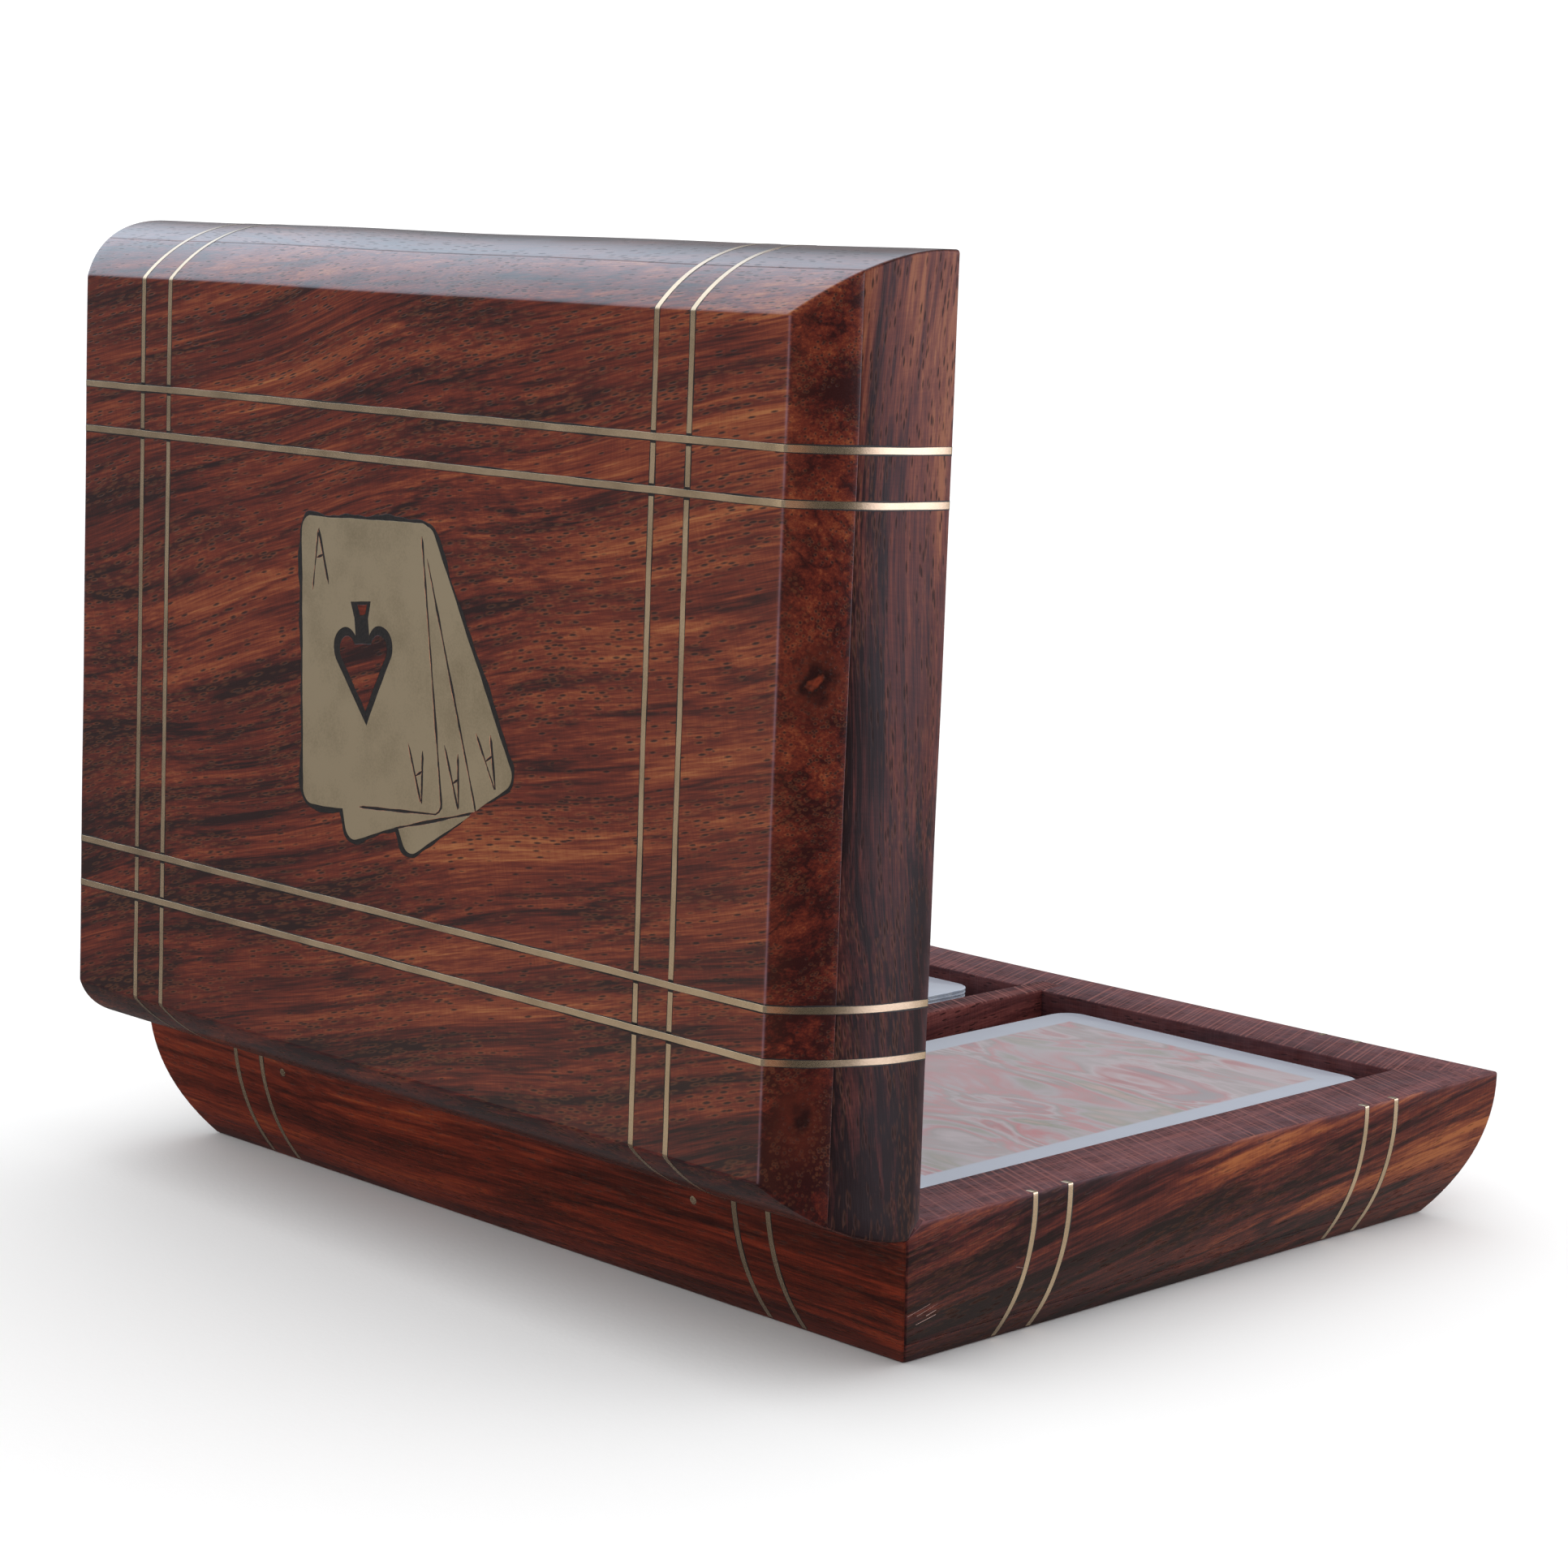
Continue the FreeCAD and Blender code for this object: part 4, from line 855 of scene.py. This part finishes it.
def joined(parts):
    """Several point and face lists as one, with each part's faces counted on."""
    starts = np.cumsum([0] + [len(points) for points, faces in parts])
    faces = [np.asarray(face) + start for (points, faces), start in zip(parts, starts) for face in faces]
    return np.concatenate([points for points, faces in parts]), faces


# %% Draw the lines' paths
RIM_TAB = 1.3
BEFORE_ARRIS, BEFORE_END, PAST_ARRIS = 0.9, 0.4, 1.8


def down_path(half, half_size, to_middle):
    """(distance from the middle, drop) from the rim down the moulding, and on to the middle. It
    starts with a short tab on the rim."""
    last = half.height - (BEFORE_ARRIS if to_middle else BEFORE_END)
    profile = [(RIM_TAB, 0, 0), (0, 0, RIM_SOFT)] + outer_line(half, half.land, last, count=20)
    if to_middle:
        flat = np.linspace(half.inset + PAST_ARRIS, half_size, 36)
        profile += [(half.inset, half.height, ARRIS_SOFT)] + [(inset, half.height, 0) for inset in flat]
    section = soften(profile, steps=5)
    return np.column_stack((half_size - section[:, 0], section[:, 1]))


def over_path(half, half_size):
    """The same from the rim up to the middle and down to the other rim."""
    down = down_path(half, half_size, to_middle=True)
    return np.concatenate((down * (-1, 1), down[-2::-1]))


def in_space(path, side_axis, place):
    """A path drawn across the box becomes 3D: side_axis 0 keeps x at `place`, 1 keeps y."""
    points = np.insert(path, side_axis, place, axis=1)
    return points, np.eye(3)[side_axis]


# %% Lay one line in
STRIP_GAP, LAC_WIDER = 0.35, 0.24
STRIP_VARIES, STRIP_WANDERS, LAC_VARIES, LAC_WANDERS = 0.06, 0.05, 0.16, 0.06


def lay_line(solid, body, where, path, side_axis, place, seed, breaks=()):
    """Lays a solid's brass line, broken where other lines cross it, and returns the points and
    faces of the lac under the whole of it. A cut end gets a point of its own on the flat."""
    pieces, ends = [], [-np.inf, *breaks, np.inf]
    for number, (start, stop) in enumerate(zip(ends[:-1], ends[1:])):
        start, stop = start + STRIP / 2 + STRIP_GAP, stop - STRIP / 2 - STRIP_GAP
        run = path[(path[:, 0] > start) & (path[:, 0] < stop)]
        cut_ends = [(end, path[:, 1].max()) for end in (start, stop)]
        run = np.vstack([cut_ends[:1]] * bool(number) + [run] + [cut_ends[1:]] * (number < len(breaks)))
        run, across = in_space(run, side_axis, place)
        pieces.append(bar(run, across, STRIP, -STRIP_SINKS, STRIP_STANDS, seed + 7 * number,
                          STRIP_VARIES, STRIP_WANDERS))
    points, faces = joined(pieces)
    make_piece(solid + "_filed", placed(points, where), faces, body, [strip_brass], [solid])
    whole, across = in_space(path, side_axis, place)
    return bar(whole, across, STRIP + LAC_WIDER, -LAC_SINKS, LAC_STANDS, seed + 1, LAC_VARIES, LAC_WANDERS)


# %% Lay all the lines in
base_lac, lid_lac = [], []
for number in NUMBERS:
    for side_axis, places, half_size, sides in ((0, ACROSS, HALF_DEPTH, ("front", "rear")),
                                                (1, ALONG, HALF_WIDTH, ("left", "right"))):
        place = places[number - 1]
        down, over = down_path(BASE, half_size, to_middle=False), over_path(LID, half_size)
        for side, sign in zip(sides, (-1, 1)):
            solid = "base_%s_strip_%d" % (side, number)
            base_lac.append(lay_line(solid, "base", BASE_FRAME, down * (sign, 1), side_axis, place,
                                     40 * number + 10 * side_axis + sign))
        solid = "lid_%s_strip_%d" % (("cross", "long")[side_axis], number)
        lid_lac.append(lay_line(solid, "lid", LID_FRAME, over, side_axis, place,
                                500 + 20 * number + side_axis, ALONG if side_axis == 0 else ()))
for body, where, lines in (("base", BASE_FRAME, base_lac), ("lid", LID_FRAME, lid_lac)):
    points, faces = joined(lines)
    make_piece(body + "_lac_beside_lines", placed(points, where), faces, body, [lac])
print("brass lines: %d on the base, %d on the lid" % (len(base_lac), len(lid_lac)))

# %% [markdown]
# ## The inlaid cards
# A fan of three cards is sawn from brass sheet with a spade pierced through the front one. It lies
# in a bed of lac, with a spade of wood left standing in the hole. The solids hold the true outline,
# so the sheet starts from a merged copy of a solid's flat face: its outline is cut into short steps
# and pulled about slightly, as a fret saw does. The letters and the edges of the cards are cut with
# a graver, whose V gets wider as it gets deeper, so grooves of that shape are subtracted.

# %% Start from a flat face
def flat_face(solid):
    """A merged copy of a solid's top face in the lid's own frame: the faces that look up and lie
    within a tenth of a millimetre of the top."""
    face = bmesh.new()
    face.from_mesh(solids[solid].data)
    bmesh.ops.remove_doubles(face, verts=face.verts, dist=1e-6)
    back = LID_FRAME.inverted()
    back.translation *= MM
    face.transform(back)
    face.normal_update()
    top = max(vertex.co.z for vertex in face.verts)
    unwanted = [f for f in face.faces if f.normal.z < 0.9 or f.calc_center_median().z < top - 0.1 * MM]
    bmesh.ops.delete(face, geom=unwanted, context="FACES")
    return face


def outline_of(solid, rank):
    """Fills every outline of a flat face with one face, and keeps the one of that rank in size."""
    face = flat_face(solid)
    bmesh.ops.holes_fill(face, edges=face.edges, sides=0)
    by_size = sorted(face.faces, key=lambda one: -one.calc_area())
    bmesh.ops.delete(face, geom=by_size[:rank] + by_size[rank + 1:], context="FACES")
    bmesh.ops.reverse_faces(face, faces=[one for one in face.faces if one.normal.z < 0])
    return face


# %% Saw a sheet
FRET_STEP, FRET_BEVEL = 0.9 * MM, 0.05 * MM
HALVINGS = 8
SHEET_STANDS, SPADE_STANDS = 0.04, 0.03


def fret(points, seed, size):
    """Pulls points about in the plane, x + w(y) + w(3.1 y) / 2 and y + w(x) + w(3.1 x) / 2 with w
    the waver, so by waves 3 to 50 mm long, as a hand-held fret saw does."""
    x, y, z = points.T
    return np.column_stack((x + waver(y, seed, size) + waver(3.1 * y, seed + 1, size / 2),
                            y + waver(x, seed + 2, size) + waver(3.1 * x, seed + 3, size / 2), z))


def sheet_piece(name, face, stands, materials, seed, size, replaced=(), cutter=None, thick=0.7,
                share=1.0, aside=(0, 0)):
    """Steps the outline, wavers it, gives it thickness and a small bevel, and cuts the engraving.
    The outline is first drawn to a share s of its size, c + s (p - c), and then moved aside."""
    for _ in range(HALVINGS):
        long = [edge for edge in face.edges if edge.is_boundary and edge.calc_length() > FRET_STEP]
        if long:
            bmesh.ops.subdivide_edges(face, edges=long, cuts=1)
    mesh = bpy.data.meshes.new(name)
    face.to_mesh(mesh)
    face.free()
    points = np.empty(len(mesh.vertices) * 3)
    mesh.vertices.foreach_get("co", points)
    points = points.reshape(-1, 3) / MM
    centre = (points.min(axis=0) + points.max(axis=0)) / 2
    points = fret(centre + (points - centre) * (share, share, 1), seed, size) + (*aside, stands)
    mesh.vertices.foreach_set("co", (points * MM).ravel())
    draft = in_scene(name, mesh)
    thickness = draft.modifiers.new("thickness", "SOLIDIFY")
    thickness.thickness, thickness.offset = thick * MM, -1
    bevel = draft.modifiers.new("edge", "BEVEL")
    bevel.width, bevel.segments, bevel.limit_method = FRET_BEVEL, 2, "ANGLE"
    if cutter:
        cut = draft.modifiers.new("engraving", "BOOLEAN")
        cut.object, cut.operation, cut.solver, cut.use_self = cutter, "DIFFERENCE", "EXACT", True
        cut.material_mode = "TRANSFER"
    for material in materials:
        mesh.materials.append(material)
    made = bpy.data.meshes.new_from_object(draft.evaluated_get(bpy.context.evaluated_depsgraph_get()))
    bpy.data.objects.remove(draft)
    made.transform(Matrix.Scale(MM, 4) @ LID_FRAME @ Matrix.Scale(1 / MM, 4))
    made.name = name
    return finish_piece(name, made, "lid", replaced, smooth=False)


# %% [markdown]
# Each letter is a V and a crossbar, and each card's edge is one bent line. All are drawn in
# millimetres from the middle of the lid, and a real V groove follows each of them.

# %% Draw the engraving
ENGRAVED_LETTERS = [
    [(17.6, -11.2), (16.6, -19.5), (14.1, -12.2)], [(16.9, -15.55), (15.4, -16.05)],
    [(-3.8, 6.8), (-6.9, 14.7), (-6.9, 7.5)], [(-5.3, 11.05), (-6.95, 10.15)],
    [(-11.4, 6.2), (-14.6, 14.4), (-14.2, 7.0)], [(-13.1, 11.05), (-14.45, 10.25)],
    [(-17.8, 3.9), (-22.0, 11.0), (-20.7, 3.8)], [(-19.7, 7.35), (-21.25, 6.35)],
]
ENGRAVED_EDGES = [
    [(-5.7, -20.2), (-11.1, 14.3), (-10.2, 15.4), (6.4, 16.6)],
    [(-6.9, -17.4), (-17.8, 13.0), (-18.1, 14.1), (-1.4, 18.4)],
]
LETTER_WIDTH, EDGE_WIDTH, GRAVER_DEEP, GRAVER_ABOVE = 0.42, 0.38, 0.16, 0.1
GRAVER_STEP, GRAVER_TAPER = 0.8, 0.6


def graved(line, width, seed):
    """A V groove along a line: three points to a step, two above the sheet and one below. Where
    it is w wide its depth is d w / w0, and w varies as the graver is pushed and rolled."""
    line = np.array(line, float)
    length = np.concatenate(([0], np.cumsum(np.linalg.norm(np.diff(line, axis=0), axis=1))))
    steps = np.linspace(0, length[-1], max(4, int(length[-1] / GRAVER_STEP)))
    x, y = (np.interp(steps, length, line[:, axis]) for axis in (0, 1))
    heading = np.gradient(np.column_stack((x, y)), axis=0)
    heading /= np.linalg.norm(heading, axis=1, keepdims=True)
    aside = heading[:, ::-1] * (-1, 1)
    half = width * (0.5 + 0.15 * waver(steps * 2, seed, 1.0) + 0.06 * np.sin(steps * 7))
    half *= np.clip(np.minimum(steps, steps[-1] - steps) / GRAVER_TAPER, 0.35, 1)
    half = np.maximum(half, 0.05)[:, None]
    top = np.full((len(x), 1), LID.height + SHEET_STANDS + GRAVER_ABOVE)
    low = top - GRAVER_ABOVE - GRAVER_DEEP * half / (width / 2)
    rim = half * (1 + GRAVER_ABOVE / GRAVER_DEEP)
    centre = np.column_stack((x, y))
    rows = np.stack((np.hstack((centre - aside * rim, top)), np.hstack((centre + aside * rim, top)),
                     np.hstack((centre, low))), axis=1)
    return rows.reshape(-1, 3), tube_faces(len(x), 3)


# %% Cut the engraving
grooves = [graved(line, LETTER_WIDTH, 11 + n) for n, line in enumerate(ENGRAVED_LETTERS)]
grooves += [graved(line, EDGE_WIDTH, 51 + n) for n, line in enumerate(ENGRAVED_EDGES)]
points, faces = joined(grooves)
graver_mesh = bpy.data.meshes.new("graver")
graver_mesh.from_pydata((points * MM).tolist(), [], [list(face) for face in faces])
graver_mesh.materials.append(engraving_wax_and_glints)
graver_shape = bmesh.new()
graver_shape.from_mesh(graver_mesh)
bmesh.ops.recalc_face_normals(graver_shape, faces=graver_shape.faces)
graver_shape.to_mesh(graver_mesh)
graver_shape.free()
graver = in_scene("graver", graver_mesh)
bpy.context.view_layer.update()
sheet_piece("card_fan_sheet", flat_face("card_fan_inlay"), SHEET_STANDS, [sheet_brass],
            seed=3, size=0.10, replaced=["card_fan_inlay"], cutter=graver)
bpy.data.objects.remove(graver)
print("engraved lines:", len(grooves))

# %% Lay the lac and the spade
sheet_piece("lac_bed", outline_of("lac_filling", 0), LAC_STANDS, [lac], seed=21, size=0.42,
            replaced=["lac_filling"], thick=0.3, share=0.975, aside=(0.15, -0.1))
sheet_piece("spade_of_wood", outline_of("lac_filling", 3), SPADE_STANDS, [lid_wood],
            seed=3, size=0.16, thick=0.2, share=0.92)
print("lac bed and spade, %.3f and %.3f mm above the wood" % (LAC_STANDS, SPADE_STANDS))

# %% [markdown]
# ## The chip in the stem and the scratches
# A sliver of wood lies in the lac of the spade's stem. Near one corner of the base, handling has
# left a few pale hairlines on the moulded side. Each is a very thin bar laid on the surface.

# %% Lay the chip and the scratches
SPADE_MIDDLE, SPADE_TURN = (6.4, -4.6), math.radians(6.5)
STEM_CHIP = [(-0.95, -4.3), (0.15, -4.1), (0.75, -5.5), (-1.45, -5.6)]
stem = bmesh.new()
turned = Matrix.Rotation(SPADE_TURN, 3, "Z")
stem.faces.new([stem.verts.new((Vector((*SPADE_MIDDLE, 0)) + turned @ Vector((x, y, 0))) * MM
                               + Vector((0, 0, LID.height * MM))) for x, y in STEM_CHIP])
stem.normal_update()
bmesh.ops.reverse_faces(stem, faces=[one for one in stem.faces if one.normal.z < 0])
sheet_piece("stem_chip_of_wood", stem, SPADE_STANDS, [base_back_wood], seed=8, size=0.2,
            thick=0.15)

SCRATCHES = [((56.4, 12.6), (52.9, 11.5)), ((54.7, 12.9), (51.5, 11.8)), ((54.2, 14.2), (51.1, 13.4)),
             ((52.9, 13.2), (51.4, 12.7)), ((38.4, 9.6), (36.0, 10.3))]
SCRATCH_WIDTH, SCRATCH_SINKS, SCRATCH_STANDS = 0.06, 0.05, 0.015
SCRATCH_VARIES, SCRATCH_WANDERS = 0.7, 0.05
hairlines = []
for number, ends in enumerate(SCRATCHES):
    y, drop = np.linspace(*ends, 12).T
    path = np.column_stack((BASE.drawn_in(drop) - HALF_WIDTH, y, drop))
    hairlines.append(bar(path, np.array((0, 0, 1.0)), SCRATCH_WIDTH, -SCRATCH_SINKS, SCRATCH_STANDS,
                         70 + number, SCRATCH_VARIES, SCRATCH_WANDERS))
points, faces = joined(hairlines)
make_piece("base_scratches", placed(points, BASE_FRAME), faces, "base",
           [scratched_wood])
print("one chip and %d scratches" % len(SCRATCHES))

# %% [markdown]
# ## The decks
# A deck is 54 cards that never lie quite square. Each card is a thin slab with rounded edges, so a
# stack of rings with a small random shift for each card gives the fine lines down its side. The top
# card is a piece of its own, with the printed back.

# %% Stack the cards
CARD_SOFT, CARD_CORNER, CARD_INSET, CARD_SHIFT = 0.07, 3.5, 0.1, 0.09
CARD_HALF = (CARD_WIDTH / 2, CARD_LENGTH / 2)
BACK_INSET = 9


def make_deck(side, seed):
    """Each card has four rings, its outline drawn in by its rounding at the floor and at the top,
    and all four are shifted together by a random step. The top card has its corner softened more
    above than below."""
    low, high = corners_of(side + "_deck_cards")
    top_low, top_high = corners_of(side + "_deck_top_card")
    sheet = top_high[2] - top_low[2]
    count = round((high[2] - low[2]) / sheet)
    shuffle = np.random.default_rng(seed)
    floors = low[2] + sheet * np.arange(count)
    levels = np.column_stack((floors, floors + CARD_SOFT, floors + sheet - CARD_SOFT, floors + sheet))
    insets = np.tile((CARD_SOFT + CARD_INSET, CARD_INSET, CARD_INSET, CARD_SOFT + CARD_INSET), count)
    points, faces = ring_stack(np.column_stack((insets, levels.ravel())), CARD_CORNER, CARD_HALF, columns=6)
    shifts = np.repeat(shuffle.uniform(-CARD_SHIFT, CARD_SHIFT, (count, 2)), 4, axis=0)
    points[..., :2] += shifts[:, None]
    centre = ((low + high) / 2)[:2]
    points[..., :2] += centre
    make_piece(side + "_deck_cut_edges", placed(points, UPRIGHT), faces, side + "_deck",
               [card_edges], [side + "_deck_cards"])
    section = soften([(BACK_INSET, top_low[2], 0), (0, top_low[2], 0.05), (0, top_high[2], 0.18),
                      (BACK_INSET, top_high[2], 0)])
    points, faces = ring_stack(section, CARD_CORNER, CARD_HALF, columns=16)
    points[..., :2] += centre
    back = section[:-1, 1] > top_high[2] - 0.03
    make_piece(side + "_deck_back_card", placed(points, UPRIGHT), faces, side + "_deck",
               [card_edges, card_backs[side]], [side + "_deck_top_card"],
               [*np.repeat(back, points.shape[1]), False, True])
    print(side, "deck: %d cards of %.2f mm" % (count, sheet))


make_deck("left", seed=4)
make_deck("right", seed=9)

# %% [markdown]
# ## Hinges and nails
# The hinge leaves and their pins keep the shape of their solids and only get their finish, rolled
# brass. Each leaf is held by a brass nail that is driven from the back, clipped and filed, so its
# end follows the curve of the side. It is a rod whose end points are put on that curve.

# %% Finish the hinges
hinge_parts = [solid for name, solid in solids.items() if "hinge" in name and "nails" not in name]
for solid in hinge_parts:
    solid.data.materials.clear()
    solid.data.materials.append(hinge_brass)
print("hinge leaves and pins:", len(hinge_parts))

# %% Drive the nails
NAIL_RADIUS, NAIL_DROP, NAIL_BEYOND = 0.85, 5.2, 3.0
AROUND = np.linspace(0, 2 * math.pi, 24, endpoint=False)


def nail(half, across):
    """Rings round an axis along y. A point at a drop d reaches b - drawn_in(d) + s, so the end
    follows the moulding, and the last rings make a low dome."""
    radii = NAIL_RADIUS * np.array([1.0, 1.0, 0.72, 0.67, 0.4])[:, None]
    stands = np.array([0, -0.6, -0.1, 0.04, 0.06])[:, None]
    drops = NAIL_DROP + radii * np.sin(AROUND)
    reach = HALF_DEPTH - half.drawn_in(drops) + stands
    reach[0] = HINGE_Y - NAIL_BEYOND
    points = np.dstack((across + radii * np.cos(AROUND), reach, drops))
    return hand_made(points).reshape(-1, 3), tube_faces(*drops.shape)


for body, half, where in (("base", BASE, BASE_FRAME), ("lid", LID, LID_FRAME)):
    points, faces = joined([nail(half, middle("hinge_pin_" + side, 0)) for side in ("left", "right")])
    solid = body + "_hinge_nails"
    make_piece(solid + "_filed", placed(points, where), faces, body, [strip_brass], [solid])
    print(body, "nails: 2, %.1f mm from the rim" % NAIL_DROP)

# %% [markdown]
# ## Floor and light
# A box like this is shown on white. The floor is a plain pale sheet, a tenth of a millimetre below
# the underside. Shiny things don't mirror it, or the brass would turn white low down.

# %% Lay the floor
FLOOR_REACH, FLOOR_BELOW = 3.0, 0.1 * MM
floor_mesh = bpy.data.meshes.new("floor")
floor_mesh.from_pydata([(x, y, 0) for x, y in ((-1, -1), (1, -1), (1, 1), (-1, 1))], [], [(0, 1, 2, 3)])
floor_mesh.transform(Matrix.Scale(FLOOR_REACH, 4))
floor = in_scene("floor", floor_mesh)
floor.location.z = -FLOOR_BELOW
floor_mesh.materials.append(matt("pale_paper_sweep", "#f8f8f8", 0.9))
floor.visible_glossy = False
print("floor: %.0f m across" % (2 * FLOOR_REACH))

# %% [markdown]
# The sky is seen in two ways. Matt surfaces are lit by an even white one, which gives soft shadows.
# What shines mirrors a dim room with bright and dark patches in it: brass that mirrors a dim part
# turns khaki, and waxed wood that is seen along its surface picks up a window. A patch lies round
# a direction. It is full where the cosine of the angle from it is over one number, and gone where
# it is under another.

# %% Light the sky
world = bpy.data.worlds.new("sky")
bpy.context.scene.world = world
world.use_nodes = True
tree = world.node_tree
direction = add(tree, "TexCoord", output="Generated")
ROOM = [  # middle of a patch, cosines of its edge and of its full part, colour
    ((0.70, 0.02, 0.714), 0.66, 0.95, (1.74, 2.02, 2.38)),  # a skylight over the right end
    ((-0.85, -0.42, 0.32), 0.74, 0.88, (3.0, 3.0, 3.5)),  # a window to the left
    ((0.0, 0.0, -1.0), 0.06, 0.42, (0.09, 0.08, 0.08)),  # the dark underneath
    ((-0.42, -0.74, -0.52), 0.80, 0.97, (0.58, 0.55, 0.50)),  # pale paper low in front
    ((0.60, 0.79, -0.105), 0.978, 0.990, (0.70, 0.66, 0.58)),  # a pale wall behind on the right
    ((-0.72, 0.68, -0.12), 0.95, 0.992, (0.36, 0.15, 0.08)),  # brown wood behind on the left
    ((-0.88, 0.46, -0.12), 0.95, 0.985, (0.02, 0.025, 0.025)),  # a black stand on the left
    ((0.737, 0.632, -0.238), 0.9950, 0.9988, (0.66, 0.63, 0.57)),  # a small pale card low on the right
]
DAYLIGHT, ROOM_DARK = (1.25, 1.25, 1.25, 1), (0.23, 0.23, 0.235, 1)
mirrored = ROOM_DARK
for place, edge, full, patch in ROOM:
    facing = add(tree, "VectorMath", (direction, place), output="Value", operation="DOT_PRODUCT")
    within = add(tree, "MapRange", (facing, edge, full), interpolation_type="SMOOTHSTEP")
    mirrored = add(tree, "Mix", {0: within, 6: mirrored, 7: (*patch, 1)}, output=2, data_type="RGBA")
in_gloss = add(tree, "LightPath", output="Is Glossy Ray")
colour = add(tree, "Mix", {0: in_gloss, 6: DAYLIGHT, 7: mirrored}, output=2, data_type="RGBA",
             clamp_result=False)
set_sockets(tree, tree.nodes["Background"], {"Color": colour, "Strength": 1.0})
print("patches in the room:", len(ROOM))

# %% [markdown]
# ## Camera
# The camera looks at the back left corner from a little above, through a long lens. Its place is
# in metres, LOOKS is the way it looks, and LEVEL points to the right of the picture.

# %% Place the camera
CAMERA_PLACE = (-0.39026, 0.37157, 0.14782)
LOOKS = Vector((0.71805, -0.67612, -0.16514))
LEVEL = Vector((-0.68406, -0.72933, 0.01167))
camera_data = bpy.data.cameras.new("camera")
camera_data.sensor_width, camera_data.lens = 36, 86.74
camera_data.clip_start, camera_data.clip_end = 0.01, 20
camera = in_scene("camera", camera_data)
up = LEVEL.cross(LOOKS)
camera.matrix_world = Matrix.Translation(CAMERA_PLACE) @ Matrix((LEVEL, up, -LOOKS)).transposed().to_4x4()
bpy.context.scene.camera = camera
bpy.context.scene.view_settings.view_transform = "Standard"
print("lens: %.0f mm" % camera_data.lens)
